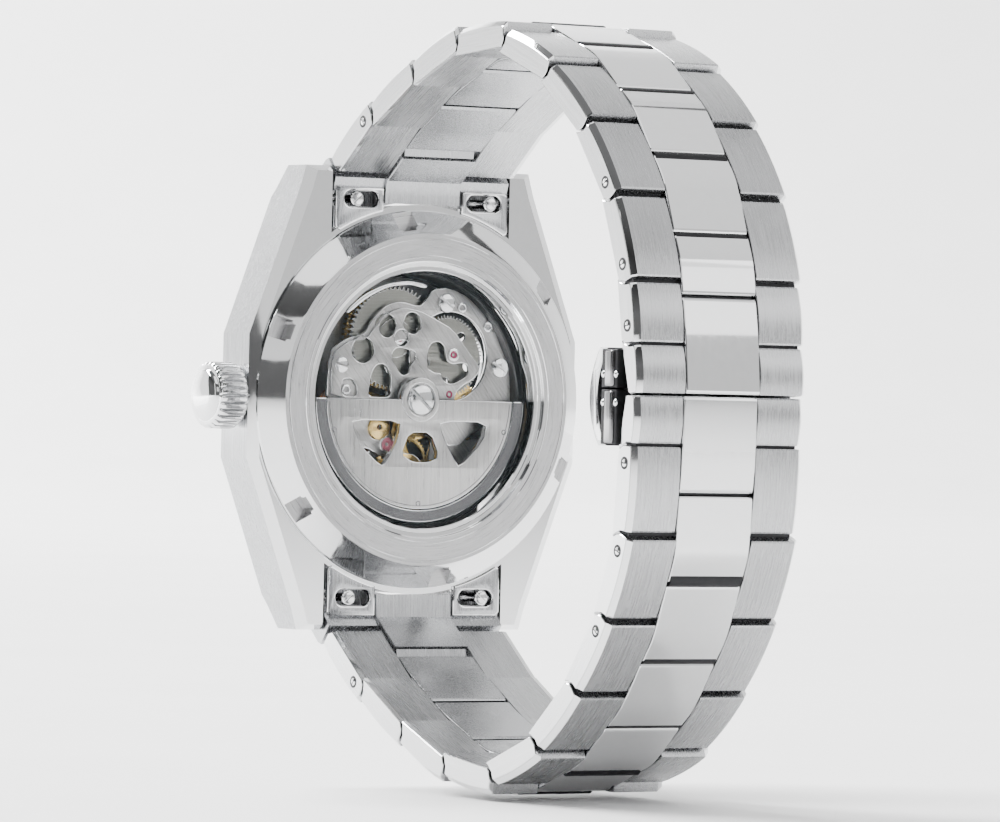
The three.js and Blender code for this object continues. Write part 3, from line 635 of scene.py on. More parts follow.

# A core under each seam keeps light from coming through between the pieces, and its near-black colour is painted
# shade in the gaps.
for name, chain in CHAINS.items():
    for i in range(1, LAST + 1):
        place, _ = link_place(chain, i)
        node = piece_node(name, i)
        reach = tapered(i, "width", "clasp") / 2 - 0.5
        builder = bmesh.new()
        for radius, half, along in ((0.95, reach, 0), (0.8, reach, 1.9), (0.85, 4.3, -2.6)):
            turned(builder, rod(radius, -half, half), 24, (along, 0), "X")
        publish(node + "_core", builder, [GAP_SHADE], 30, node, (), metres(place))


# ---------------------------------------------------------------- clasp

PLATE = {"half": 10.0, "top": 5.6, "bottom": -4.1, "back": 45.6, "sag": 1.7, "thick": 1.45}
BUTTON = {"from": 6.1, "to": 10.5, "front": 48.65, "seam": 1.55}
HINGE = {"y": 45.6, "upper": 17.0, "lower": -13.9}
TIP = {"y": 49.7, "upper": 5.7, "lower": -2.5}
ARM = {"half": 3.95, "thick": 1.1, "cheek": 1.3, "fork": 2.25, "strip": 1.85, "knuckle": 0.95, "pin": 0.4,
       "ear": 4.7}


def crescent_plate():
    """The curved plate of the folded clasp, with softened edges."""
    middle = (PLATE["top"] + PLATE["bottom"]) / 2
    half = (PLATE["top"] - PLATE["bottom"]) / 2
    sections = []
    stations = [(-PLATE["half"], 0.16), (-PLATE["half"] + 0.06, 0.05), (-PLATE["half"] + 0.2, 0),
                (PLATE["half"] - 0.2, 0), (PLATE["half"] - 0.06, 0.05), (PLATE["half"], 0.16)]
    for x, inset in stations:
        inner, outer = [], []
        for k in range(25):
            s = -1 + 2 * k / 24
            bow = 1 - s * s
            z = middle + s * (half - inset)
            y_back = PLATE["back"] + PLATE["sag"] * (1 - bow)
            inner.append((x, y_back + inset, z))
            outer.append((x, y_back + PLATE["thick"] - inset, z))
        sections.append(inner + outer[::-1])
    builder = bmesh.new()
    skin(builder, sections)
    publish("clasp_plate", builder, [BRUSHED_SIDE], 35, "clasp_spine", ["clasp_spine"])


def strip_bar(name, body, path, half, thick, materials, stands_for=(), hollow=0):
    """A bent flat strip across X, from (y, z) points along its middle."""
    builder = bmesh.new()
    ranges = [(-half, half)] if not hollow else [(-half, -hollow), (hollow, half)]
    points = [Vector(p) for p in path]
    normals = []
    for i, point in enumerate(points):
        run = (points[min(i + 1, len(points) - 1)] - points[max(i - 1, 0)]).normalized()
        normals.append(Vector((-run.y, run.x)))
    for low, high in ranges:
        sections = []
        for x, inset in ((low, 0.1), (low + 0.08, 0), (high - 0.08, 0), (high, 0.1)):
            side = [p + n * (thick / 2 - inset) for p, n in zip(points, normals)]
            other = [p - n * (thick / 2 - inset) for p, n in zip(points, normals)]
            sections.append([(x, p.x, p.y) for p in side + other[::-1]])
        skin(builder, sections)
    return publish(name, builder, materials, 35, body, stands_for)


def barrel(name, body, y, z, radius, half, materials):
    lathed(name, [(0, -half), (radius - 0.12, -half), (radius, -half + 0.12), (radius, half - 0.12),
                  (radius - 0.12, half), (0, half)], 32, materials, 35, body, (), (y, z), "X")


crescent_plate()
strip_bar("clasp_spring_strip", "clasp_spine",
          [(HINGE["y"] - 0.35, HINGE["lower"] + (HINGE["upper"] - HINGE["lower"]) * k / 20) for k in range(21)],
          ARM["strip"], 0.7, [BRUSHED])
for name in ("upper", "lower"):
    barrel(f"clasp_knuckle_{name}", "clasp_spine", HINGE["y"], HINGE[name], ARM["knuckle"], ARM["strip"],
           [POLISHED])
for name in ("upper", "lower"):
    arm = f"clasp_arm_{name}"
    start = Vector((HINGE["y"], HINGE[name]))
    end = Vector((TIP["y"], TIP[name]))
    bow = [start.lerp(end, k / 14) for k in range(15)]
    strip_bar(f"clasp_blade_{name}", arm, bow[4:], ARM["half"], ARM["thick"], [BRUSHED], [arm])
    strip_bar(f"clasp_cheeks_{name}", arm, bow[:6], ARM["half"], ARM["cheek"], [BRUSHED], (),
              ARM["fork"])
    barrel(f"clasp_tip_{name}", arm, TIP["y"], TIP[name], ARM["knuckle"], ARM["half"], [POLISHED])
    barrel(f"clasp_pin_{name}", arm, HINGE["y"], HINGE[name], ARM["pin"], ARM["half"] + 0.15,
           [POLISHED])
    for across, word in SIDES:
        ear = strip_bar(f"clasp_ear_{name}_{word}", f"clasp_end_{name}",
                        [(TIP["y"] + out, TIP[name]) for out in (-0.6, 0.6, 2.3)], 0.3, ARM["cheek"],
                        [BRUSHED_SIDE])
        ear.location.x += across * ARM["ear"] * MM


def rounded_block(name, low, high, edge, materials, body, stands_for=()):
    """A block with soft edges."""
    builder = block(low, high)
    bmesh.ops.bevel(builder, geom=builder.edges[:], offset=edge, segments=3, affect="EDGES", profile=0.6)
    publish(name, builder, materials, 40, body, stands_for)


RIVET = [(0, 0), (0.34, 0), (0.34, 0.1), (0.2, 0.2), (0, 0.22)]
for across, word in SIDES:
    for name, low_z, high_z in (("upper", BUTTON["seam"] + 0.1, PLATE["top"] - 0.15),
                                ("lower", PLATE["bottom"] + 0.15, BUTTON["seam"] - 0.1)):
        node = f"button_{name}_{word}"
        front = BUTTON["front"]
        near, far = sorted((across * BUTTON["from"], across * BUTTON["to"]))
        # The box is near-black steel, painted shade round the button bar.
        rounded_block(node + "_box", (near, front - 0.1, low_z), (far, front + 2.6, high_z), 0.12, [GAP_SHADE], node,
                      [node])
        rounded_block(node + "_bar", (near + across * 0.3, front + 0.7, low_z + 0.08),
                      (far + across * 0.3, front + 2.15, high_z - 0.08), 0.3, [DARK_POLISHED], node)
        near_seam = low_z + 1.3 if name == "upper" else high_z - 1.3
        for k, y in enumerate((front + 0.3, front + 2.5)):
            place = Matrix.Translation((across * BUTTON["to"] * MM, y * MM, near_seam * MM))
            place = place @ Matrix.Rotation(0 if across > 0 else math.pi, 4, "Z")
            lathed(f"{node}_rivet_{k}", RIVET, 24, [POLISHED], 35, node, (), (0, 0), "X", place)


# ---------------------------------------------------------------- case

CASE = {"half": 20.4, "flank": 6.5, "shoulder": (14.6, 22.0), "tip": (13.9, 24.4), "lug": 11.1, "body": 20.6,
        "back": -2.15, "front": -9.3, "lug_front": -6.6, "lug_start": 18.5, "cavity": 15.6, "neck": 16.9}
LEVEL = -5.1  # the crown's height in Y
LUG_PIN = {"y": -4.2, "z": 21}  # where a release pin lies in a lug


def case_outline(inset):
    """The case seen from the back, with its lugs, and moved inwards on its outer flanks."""
    c = CASE
    reach = math.degrees(math.acos(c["lug"] / c["body"]))
    end = c["tip"][1] - inset * 0.5
    flank = [(c["half"] - inset, c["flank"]),
             (c["shoulder"][0] - inset * 0.97, c["shoulder"][1] - inset * 0.2),
             (c["tip"][0] - inset * 0.9, end), (c["lug"], end)]
    upper = flank + arc(0, 0, c["body"], reach, 180 - reach, 40) + [(-x, z) for x, z in flank[::-1]]
    return upper + [(-x, -z) for x, z in upper]


def case_body():
    """The case middle, cut out for the movement, the crown's stem and the release pins."""
    builder = bmesh.new()
    c = CASE
    levels = [(c["back"], 1.1), (c["back"] - 0.75, 0.0), (c["front"] + 1.1, 0.0), (c["front"], 0.9)]
    skin(builder, [[(x, y, z) for x, z in case_outline(inset)] for y, inset in levels], [1, 0, 1])
    piece = publish("case_middle_body", builder, [BRUSHED_CASE, POLISHED], 30, "case", ["case_middle"])
    cutters = [cutter(BRUSHED_CASE, rod(c["cavity"], -12, 0), 128),
               cutter(BRUSHED_CASE, rod(c["neck"], c["back"] - 1.2, 0), 128),
               cutter(POLISHED, rod(1.1, 13.6, 22), 48, (LEVEL, 0), "X")]
    for side in (1, -1):
        slope = [(c["front"] - 1, c["lug_start"] - 1.2), (c["front"], c["lug_start"]),
                 (c["lug_front"], c["tip"][1]), (c["lug_front"] + 0.6, 26), (c["front"] - 1, 26)]
        wedge = bmesh.new()
        skin(wedge, [[(x, y, side * z) for y, z in slope] for x in (-25, 25)])
        cutters.append(loose("cutter", wedge, [POLISHED]))
        hole = (LUG_PIN["y"], side * LUG_PIN["z"])
        for low, high in ((10.6, 12.8), (-12.8, -10.6)):
            cutters.append(cutter(BRUSHED_CASE, rod(0.75, low, high), 24, hole, "X"))
    carve(piece, cutters)


case_body()

builder = bmesh.new()
RING = [(19.95, -2.05), (20.0, -1.95), (19.95, -1.72), (18.9, -0.95), (17.72, -0.1), (17.55, 0.0), (17.2, 0.0),
        (17.14, -0.09), (17.02, -0.09), (16.96, 0.0), (15.25, 0.0), (15.19, -0.08), (15.07, -0.08), (15.01, 0.0),
        (14.68, 0.0), (14.6, -0.06), (14.58, -0.3), (14.5, -0.36), (14.14, -0.38), (14.08, -0.46), (13.72, -0.46),
        (13.62, -0.55), (13.62, -2.05)]
turned(builder, RING[::-1], 180)
bmesh.ops.recalc_face_normals(builder, faces=builder.faces)
for face in builder.faces:
    face.material_index = 0 if face.normal.y > 0.95 and face.calc_center_median().y > -0.1 else 1
cover = publish("caseback_cover", builder, [BRUSHED_ROUND, POLISHED], 26, "case", ["caseback_ring"])
notches = []
for k in range(6):
    turn = Matrix.Rotation(-math.radians(22 + 60 * k), 4, "Y")
    back = turn.inverted()
    tool = block((17.95, -1.7, -1.2), (21.5, 1.5, 1.2), turn)
    upright = [e for e in tool.edges if abs((back @ (e.verts[0].co - e.verts[1].co)).y) > 1]
    bmesh.ops.bevel(tool, geom=upright, offset=0.35, segments=3, affect="EDGES")
    notches.append(loose("cutter", tool, [DARK_POLISHED]))
carve(cover, notches)


def glass_disc(name, node, radius, back, front, edge):
    lathed(name, [(0, front), (radius - edge, front), (radius, front + edge), (radius, back - edge),
                  (radius - edge, back), (0, back)], 128, [SAPPHIRE], 30, "case", [node])


glass_disc("caseback_window", "caseback_glass", 13.55, 0, -1, 0.15)
glass_disc("front_window", "front_crystal", 16.75, -10.1, -11.4, 0.35)
lathed("bezel_ring", [(18.3, -11), (18.6, -10.95), (19.3, -9.9), (19.4, -9.7), (19.4, -9.32), (15.9, -9.32),
                      (15.9, -10), (16.82, -10), (16.86, -10.9), (17.0, -11)], 128, [POLISHED], 30, "case",
       ["bezel"])

# The crown: a fluted grip, a domed cap and the stem.
FLUTES = 27
STEPS = FLUTES * 14
builder = bmesh.new()
sections = []
for x, radius, depth in ((20.75, 2.7, 0), (20.8, 3.0, 0), (21.0, 3.3, 0.1), (21.25, 3.48, 0.3), (21.4, 3.5, 0.36),
                         (23.7, 3.5, 0.36), (23.95, 3.42, 0.28), (24.15, 3.2, 0.05), (24.2, 3.05, 0),
                         (24.22, 2.75, 0), (24.5, 2.62, 0), (24.62, 2.45, 0), (24.8, 1.6, 0), (24.88, 0.6, 0)):
    ring = []
    for i in range(STEPS):
        a = TAU * i / STEPS
        r = radius - depth * (0.5 + 0.5 * math.cos(FLUTES * a)) ** 4
        ring.append((x, LEVEL + r * math.cos(a), r * math.sin(a)))
    sections.append(ring)
skin(builder, sections)
turned(builder, rod(0.6, 13.2, 21.1), 24, (LEVEL, 0), "X")
publish("crown_grip", builder, [POLISHED], 38, "crown", ["crown"])

for name, side in (("upper", 1), ("lower", -1)):
    link = frame["nodes"][f"end_link_{name}"]
    link.data.materials.clear()
    link.data.materials.append(BRUSHED_CASE)
    edge = link.modifiers.new("edge", "BEVEL")
    edge.width = 0.12 * MM
    edge.segments = 3
    edge.limit_method = "ANGLE"
    first = pivot(CHAINS[name]["pins"][0])
    high = abs(first.z)
    run = [(first.y + 2.2, high - 0.23), (first.y - 0.8, high - 2.52), (-2.02, high - 3.3), (-2.1, 21.6),
           (-2.12, 20.65)]
    strip_bar(f"end_tongue_{name}", "case", [(y, side * z) for y, z in run], 4.62, 0.5, [BRUSHED_CASE])
    border = arc(0, 0, 20.35, 60, 76.2, 12) + [(4.85, high - 3.5), (10.3, high - 3.5), (10.75, high - 3.9),
                                               (10.75, 18.1), (10.6, 17.75)]
    slot = arc(8.9, 21, 0.84, -90, 90, 10) + arc(6.4, 21, 0.84, 90, 270, 10)
    for across, word in SIDES:
        plate(f"end_frame_{name}_{word}", [[(across * x, side * z) for x, z in line] for line in (border, slot)],
              -1.85, -2.6, [BRUSHED_CASE, POLISHED], 0.2)
        pin = f"release_pin_{name}_{word}"
        x, z = across * 8.3, side * LUG_PIN["z"]
        near, far = sorted((across * 7, across * 12.2))
        builder = bmesh.new()
        turned(builder, [(0, -1.95), (0.7, -1.95), (0.8, -1.84), (0.8, -1.66), (0.72, -1.6), (0, -1.6)], 32,
               (x, z))
        turned(builder, rod(0.42, -4.2, -1.9), 20, (x, z))
        turned(builder, rod(0.45, near, far), 20, (LUG_PIN["y"], z), "X")
        publish(pin + "_knob", builder, [POLISHED], 35, pin, [pin])
        slotted_head(pin + "_head", x, z, 0.62, -1.42, 0.25, pin, 40 * across)


# ---------------------------------------------------------------- movement, seen through the caseback

CENTRES = {"ratchet": (1.9, 6.45), "reduction": (-4.6, 4.67), "centre": (0, 0), "third": (-4.4, -3.8),
           "fourth": (0, -6.9), "escape": (3.9, -8.2), "fork": (5.5, -5.8), "balance": (7.6, -2.6)}


def toothed(name, node, where, tip, teeth, back, front, materials, spokes=4, rim=0.7, hub=0.8, depth=0.32):
    """A toothed wheel with cut-out windows between its spokes."""
    x, z = CENTRES[where]
    outlines = [gear(x, z, tip, teeth, depth)]
    for k in range(spokes):
        start, end = (360 / spokes * (k + share) for share in (0.13, 0.87))
        outlines.append(arc(x, z, tip - depth - rim, start, end, 18) + arc(x, z, hub + 0.35, end, start, 8))
    plate(name, outlines, back, front, materials, 0.03, node, [node])


def arbor(name, where, radius, back, front, material, body):
    """A staff with eased ends, on a wheel's centre."""
    ease = radius * 0.2
    lathed(name, [(0, front), (radius - ease, front), (radius, front + ease), (radius, back - ease),
                  (radius - ease, back), (0, back)], 28, [material], 40, body, (), CENTRES[where])


toothed("ratchet_teeth", "ratchet_wheel", "ratchet", 5.6, 62, -4.0, -4.5, STEEL_PLATE, 0, 2.2, 1.2, 0.42)
plate("ratchet_boss", [circle(*CENTRES["ratchet"], 2.1, 48), circle(*CENTRES["ratchet"], 0.7, 24)], -3.8, -4.1,
      STEEL_PLATE, 0.05, "ratchet_wheel")
reduction_x, reduction_z = CENTRES["reduction"]
reduction = [gear(reduction_x, reduction_z, 4.35, 66, 0.3)]
for k in range(5):
    turn = math.radians(130 + 72 * k)
    reduction.append(circle(reduction_x + 2.75 * math.cos(turn), reduction_z + 2.75 * math.sin(turn), 0.5, 24))
plate("reduction_teeth", reduction, -3.72, -4.02, STEEL_PLATE, 0.03, "reduction_wheel", ["reduction_wheel"])
toothed("barrel_teeth", "barrel_drum", "ratchet", 5.5, 60, -4.95, -5.75, [GILT], 0)
for where, tip, teeth, back, rim, hub, depth in (("centre", 5.0, 64, -6.0, 0.5, 0.7, 0.25),
                                                 ("third", 4.5, 60, -5.4, 0.5, 0.6, 0.22),
                                                 ("fourth", 3.3, 50, -4.9, 0.4, 0.5, 0.2)):
    toothed(f"{where}_teeth", f"{where}_wheel", where, tip, teeth, back, back - 0.2, [GILT], 4, rim, hub, depth)
toothed("escape_teeth", "escape_wheel", "escape", 2.0, 15, -5.4, -5.6, STEEL_PLATE, 4, 0.16, 0.35, 0.42)
for where, radius, back, front in (("centre", 0.55, -4.9, -8.9), ("third", 0.35, -4.4, -6.2),
                                   ("fourth", 0.28, -4.2, -8.8), ("escape", 0.3, -4.5, -6.2)):
    arbor(f"{where}_arbor", where, radius, back, front, WHEEL_STEEL, f"{where}_wheel")
for where, radius, back, front, teeth in (("centre", 1.0, -5.0, -5.9, 12), ("third", 0.8, -5.7, -6.2, 10),
                                          ("fourth", 0.6, -5.2, -5.75, 8)):
    plate(f"{where}_pinion", [gear(*CENTRES[where], radius, teeth, 0.28)], back, front, [WHEEL_STEEL], 0.02,
          f"{where}_wheel")

# The balance: two arms, a copper rim, a staff, and a flat hairspring.
bx, bz = CENTRES["balance"]
rim = [circle(bx, bz, 4.2, 96)]
for half_turn in (0, 180):
    rim.append(arc(bx, bz, 3.5, 8 + half_turn, 172 + half_turn, 32)
               + arc(bx, bz, 0.75, 160 + half_turn, 20 + half_turn, 8))
plate("balance_rim", rim, -4.15, -4.6, [COPPER], 0.08, "balance_wheel", ["balance_wheel"])
arbor("balance_staff", "balance", 0.3, -3.8, -6.2, WHEEL_STEEL, "balance_wheel")
# The hairspring's coil. Its half is half the wire's width.
COIL = {"turns": 6.5, "steps": 219, "inner": 0.55, "growth": 1.6, "half": 0.02, "back": -4.75, "front": -4.95}
builder = bmesh.new()
sections = []
for k in range(COIL["steps"] + 1):
    a = TAU * COIL["turns"] * k / COIL["steps"]
    radius = COIL["inner"] + COIL["growth"] * k / COIL["steps"]
    corners = [(-COIL["half"], COIL["back"]), (COIL["half"], COIL["back"]), (COIL["half"], COIL["front"]),
               (-COIL["half"], COIL["front"])]
    sections.append([(bx + (radius + w) * math.cos(a), y, bz + (radius + w) * math.sin(a))
                     for w, y in corners])
skin(builder, sections)
publish("hairspring", builder, [BLUED], 30, "balance_wheel")
start = Vector(CENTRES["fork"])
towards = (Vector((bx, bz)) - start).normalized()
across = Vector((-towards.y, towards.x))
fork = [start + towards * a + across * s for a, s in (
    (-0.9, -1.5), (-0.3, -1.5), (-0.25, -0.3), (2.4, -0.2), (2.9, -0.35), (2.9, -0.12), (2.5, 0), (2.9, 0.12),
    (2.9, 0.35), (2.4, 0.2), (-0.25, 0.3), (-0.3, 1.5), (-0.9, 1.5), (-0.5, 0))]
plate("pallet_lever", [[tuple(p) for p in fork]], -5.35, -5.65, [POLISHED], 0.03, "pallet_fork",
      ["pallet_fork"])

# The train bridge and the automatic bridge on it: shaped windows, bevelled and brushed, over the wheels.
FRAME_EDGE = softened([
    (-12.6, -1.2), (-12.4, 2.3), (-12.3, 3.9), (-11.4, 5.4), (-10.3, 7.7), (-8.9, 9.4), (-6.8, 11.2),
    (-4.6, 12.0), (-2.3, 11.8), (-1.6, 10.7), (-0.7, 9.9), (1.5, 10.4), (3.2, 10.1), (4.9, 8.8), (6.1, 6.8),
    (8.2, 6.4), (10.5, 4.9), (10.6, -1.0), (5.6, -1.3), (2.1, -1.9), (-2.2, -3.6), (-5.4, -5.2), (-8.4, -3.1)], 1)
FRAME_WINDOWS = [circle(-4.6, 4.67, 4.7, 72)] + [circle(x, z, radius, 40) for x, z, radius in (
    (1.3, 4.2, 2.0), (6.4, 5.1, 1.5), (4.1, 1.9, 1.9), (3.4, 7.7, 1.3), (0.3, 8.1, 1.15))]
plate("bridge_frame", [FRAME_EDGE] + FRAME_WINDOWS, -3.2, -3.65, BRIDGE_PLATE, 0.12, "case", ["train_bridge"])
UPPER_EDGE = softened([
    (10.3, -0.6), (10.3, 4.6), (8.1, 6.1), (6.0, 6.3), (4.6, 8.0), (3.0, 9.3), (1.5, 9.8), (-0.8, 9.4),
    (-2.4, 8.7), (-4.8, 7.6), (-6.8, 5.3), (-8.5, 3.3), (-7.4, 2.2), (-6.2, 1.6), (-5.3, 0.8), (-5.1, -0.6)], 1)
UPPER_WINDOWS = [
    oval(3.4, 7.7, 1.0, 1.2, 15, 36), oval(0.3, 8.1, 1.05, 1.15, -20, 36), circle(1.6, 6.5, 0.88, 36),
    softened([(2.8, 4.9), (2.1, 5.5), (0.9, 5.3), (-0.1, 5.1), (-0.2, 4.3), (0.5, 3.6), (0.6, 2.8), (1.5, 2.5),
              (2.1, 3.3), (2.6, 3.9)]),
    circle(6.4, 5.1, 1.35, 48),
    softened([(5.3, 2.6), (4.7, 3.6), (3.7, 3.7), (2.8, 2.6), (2.9, 0.5), (3.2, 0.2), (5.4, 0.2), (5.6, 0.5)]),
    softened([(8.9, 2.0), (7.8, 2.1), (7.1, 1.4), (7.0, 0.2), (8.9, 0.2)]),
    softened([(-1.7, 5.3), (-2.2, 6.1), (-3.2, 6.2), (-3.8, 5.6), (-4.0, 4.3), (-4.7, 3.8), (-6.0, 4.0),
              (-6.7, 3.8), (-6.8, 2.9), (-6.3, 2.4), (-4.8, 1.7), (-3.8, 2.0), (-3.4, 2.9), (-2.6, 2.9),
              (-1.8, 3.3), (-1.7, 3.9)]),
    circle(0, 0, 1.3, 40),
]
plate("automatic_bridge", [UPPER_EDGE] + UPPER_WINDOWS, -2.9, -3.2, BRIDGE_PLATE, 0.09)
COCK = softened([(11.9, -3.0), (11.0, -6.4), (9.2, -9.0), (7.2, -9.6), (6.5, -7.4), (6.1, -4.9), (3.4, -6.4),
                 (2.3, -4.9), (3.0, -2.7), (5.0, -1.7), (8.0, -1.2), (11.6, -1.7)])
plate("balance_bridge", [COCK, circle(4.4, -3.3, 0.95, 40), circle(9.6, -5.6, 0.9, 40)], -3.1, -3.6,
      BRIDGE_PLATE, 0.12, "case", ["balance_cock"])
plate("index_disc", [circle(4.1, -3.0, 1.3, 48), circle(4.1, -3.0, 0.3, 20)], -2.95, -3.15, [GILT], 0.05)
TRAIN_COCK = softened([(-12.2, -3.2), (-9.9, -3.5), (-7.4, -4.4), (-5.4, -2.8), (-3.4, -3.2), (-2.6, -7.2),
                       (-4.4, -10.6), (-9.4, -8.2)])
plate("train_cock", [TRAIN_COCK, circle(-8.6, -6.2, 0.8, 40), circle(*CENTRES["third"], 0.55, 24)], -4.3, -4.75,
      BRIDGE_PLATE, 0.1)
FOURTH_COCK = softened([(-3.2, -8.4), (-1.4, -5.8), (1.3, -5.6), (2.6, -7.2), (5.2, -7.4), (5.4, -9.4),
                        (2.6, -11.8), (-2.6, -12.0)])
plate("fourth_cock", [FOURTH_COCK, circle(*CENTRES["fourth"], 0.5, 24), circle(*CENTRES["escape"], 0.45, 24)],
      -4.2, -4.6, GILT_PLATE, 0.08)

main = [circle(0, 0, 13.0, 128), circle(0, 0, 1.4, 40), circle(*CENTRES["fourth"], 0.6, 24),
        oval(-8.6, 3.4, 2.2, 3.6, 12), circle(bx, bz, 1.6, 40), circle(-8.2, -6.6, 1.8, 40)]
plate("base_plate", main, -6.4, -7.0, [PLATE_DARK, POLISHED], 0.1, "case", ["main_plate"])
lathed("black_ring", [(13.3, -7), (15.2, -7), (15.2, -3.25), (15.05, -3.1), (14.0, -3.1), (13.95, -3.2),
                      (13.45, -3.2), (13.3, -3.35)], 128, [BLACK], 30, "case", ["movement_ring"])


def jewel_setting(name, x, z, radius, back, stone, setting=None):
    """A domed jewel with an oil cup, and a metal setting round it."""
    lathed(name, [(0, back - 0.5), (radius, back - 0.5), (radius, back - 0.05), (radius * 0.9, back),
                  (radius * 0.45, back), (radius * 0.2, back - 0.14), (0, back - 0.16)], 36, [stone], 35,
           centre=(x, z))
    if setting:
        plate(name + "_setting", [circle(x, z, radius + 0.28, 40), circle(x, z, radius - 0.02, 40)], back + 0.04,
              back - 0.4, [setting], 0.05)


jewel_setting("jewel_tube", 1.6, 6.5, 0.45, -3.3, PINK, POLISHED)
jewel_setting("jewel_reduction", -4.9, 4.85, 0.42, -2.84, RUBY, POLISHED)
jewel_setting("jewel_third", *CENTRES["third"], 0.5, -4.25, RUBY, GILT)
jewel_setting("jewel_fourth", *CENTRES["fourth"], 0.4, -4.15, PINK)
jewel_setting("jewel_escape", *CENTRES["escape"], 0.4, -4.15, PINK)
jewel_setting("jewel_train", -4.5, 0.62, 0.42, -2.86, RUBY)
jewel_setting("jewel_cock", 3.1, -4.8, 0.7, -3.0, PINK, POLISHED)
for k, (x, z) in enumerate(((-6.0, 9.9), (-9.3, 7.9), (8.3, 0.9))):
    plate(f"steady_pin_{k}", [circle(x, z, 0.55, 32), circle(x, z, 0.3, 24)], -3.0, -3.4, [POLISHED])
plate("right_cock", [softened([(-12.6, 2.2), (-8.7, 2.1), (-8.2, 0.8), (-8.6, -0.6), (-12.6, -0.6)], 1)], -3.35,
      -3.8, GILT_PLATE, 0.08)
plate("gold_wheel", [gear(-6.9, 0.3, 1.5, 26, 0.22), circle(-6.9, 0.3, 0.35, 20)], -3.75, -3.95, [GILT], 0.02)
for k, (x, z, radius, turn) in enumerate((
        (-4.0, 10.35, 1.05, -35), (-10.9, 3.6, 1.05, -30), (9.0, 3.5, 0.85, -15), (10.2, -3.9, 0.8, -20),
        (6.9, -8.2, 0.7, 40))):
    slotted_head(f"bridge_screw_{k}", x, z, radius, -2.82, 0.5, "case", turn)
for k, (x, z) in enumerate(((-10.0, -4.4), (-4.6, -9.3), (2.6, -10.6))):
    slotted_head(f"cock_screw_{k}", x, z, 0.75, -3.95, 0.5, "case", 35 * k)
SPRING = [(-1.7, 12.2), (0.4, 12.6), (3.4, 12.2), (6.2, 11.0), (8.4, 9.2), (8.1, 8.9), (5.9, 10.6), (3.2, 11.9),
          (0.4, 12.2), (-1.5, 11.8)]
plate("click_spring", [softened(SPRING)], -3.3, -3.5, [POLISHED], 0.04)
SETTING = [(11.9, 3.2), (10.9, 6.4), (8.6, 9.6), (9.6, 9.9), (11.9, 7.0), (12.8, 3.4)]
plate("setting_plate", [softened(SETTING)], -4.6, -4.9, [PLATE_DARK, COPPER])

# The rotor: a brushed half disc with windows, its dark weight and a big slotted screw.
ROTOR_OUTLINES = [arc(0, 0, 11.6, 180, 360, 60) + arc(0, 0, 2.4, 0, 180, 32)]
ROTOR_OUTLINES += [softened(window, 1) for window in (
    [(8.3, -2.3), (2.4, -2.3), (2.6, -4.0), (4.1, -6.6), (4.7, -7.1), (7.2, -5.0), (8.1, -3.3)],
    [(-2.6, -2.3), (-8.5, -2.3), (-7.9, -4.3), (-5.1, -7.1), (-4.4, -6.2), (-2.8, -3.5)],
    [(1.3, -3.5), (-1.4, -3.5), (-2.5, -6.0), (-1.2, -6.6), (0.8, -6.6), (2.2, -5.8)],
)]
plate("rotor_disc", ROTOR_OUTLINES, -1.5, -2.3, [ROTOR, POLISHED], 0.1, "rotor", ["rotor_plate"])
weight = arc(0, 0, 13.0, 180, 360, 90) + [(x * 11.66 / 11.68, z) for x, z in arc(0, 0, 11.68, 360, 180, 90)]
plate("rotor_rim", [weight], -1.42, -2.7, [WEIGHT, POLISHED], 0.12, "rotor", ["rotor_weight"])
# A thin dark ring laid on the flat rotor where its groove runs: painted shade of the groove.
groove_shade = arc(0, 0, 11.28, 182, 358, 60) + arc(0, 0, 11.2, 358, 182, 60)
plate("rotor_groove_shade", [groove_shade], -1.485, -1.52, [DARK_POLISHED], 0.005, "rotor")
plate("rotor_collar", [circle(0, 0, 2.35, 64), circle(0, 0, 1.75, 48)], -1.35, -1.6, [ROTOR, POLISHED], 0.08,
      "rotor")
slotted_head("rotor_screw", 0, 0, 1.65, -1.2, 0.6, "rotor", -42)
arbor("rotor_axle", "centre", 0.8, -2.2, -4.1, WHEEL_STEEL, "rotor")
for k, (x, z) in enumerate(((-10.6, -3.3), (10.6, -3.3), (0, -11.0))):
    plate(f"rotor_mark_{k}", [circle(x, z, 0.3, 24), circle(x, z, 0.18, 20)], -1.49, -1.56, [DARK_POLISHED],
          0.01, "rotor")


# ---------------------------------------------------------------- dial side

DIAL_OUTLINES = [circle(0, 0, 15.3, 128), circle(0, 0, 1.4, 40), circle(*CENTRES["fourth"], 0.6, 24)]
for x, z, radius in ((-7.6, 4.4, 3.6), (7.6, 4.4, 3.6), (-8.2, -4.6, 3.0), (8.2, -4.6, 3.0), (0, 8.4, 3.0)):
    DIAL_OUTLINES.append(circle(x, z, radius, 64))
plate("skeleton_dial", DIAL_OUTLINES, -8.0, -8.4, [BLACK, POLISHED], 0.08, "case", ["dial_plate"])
lathed("dial_flange", [(15.3, -9.7), (15.3, -8.45), (14.3, -8.45), (14.3, -8.8), (14.95, -9.7)], 128, [BLACK],
       30, "case", ["flange_ring"])
for k in range(60):
    turn = Matrix.Rotation(TAU * k / 60, 4, "Y")
    if k % 5 == 0:
        tool = block((-0.38, -8.72, 11.2), (0.38, -8.42, 14.0), turn)
        bmesh.ops.bevel(tool, geom=tool.edges[:], offset=0.09, segments=2, affect="EDGES")
        publish(f"hour_index_{k}", tool, [POLISHED], 35)
    else:
        tool = block((-0.07, -9.74, 14.98), (0.07, -9.69, 15.25), turn)
        publish(f"minute_tick_{k}", tool, [WHITE_PRINT], 35)


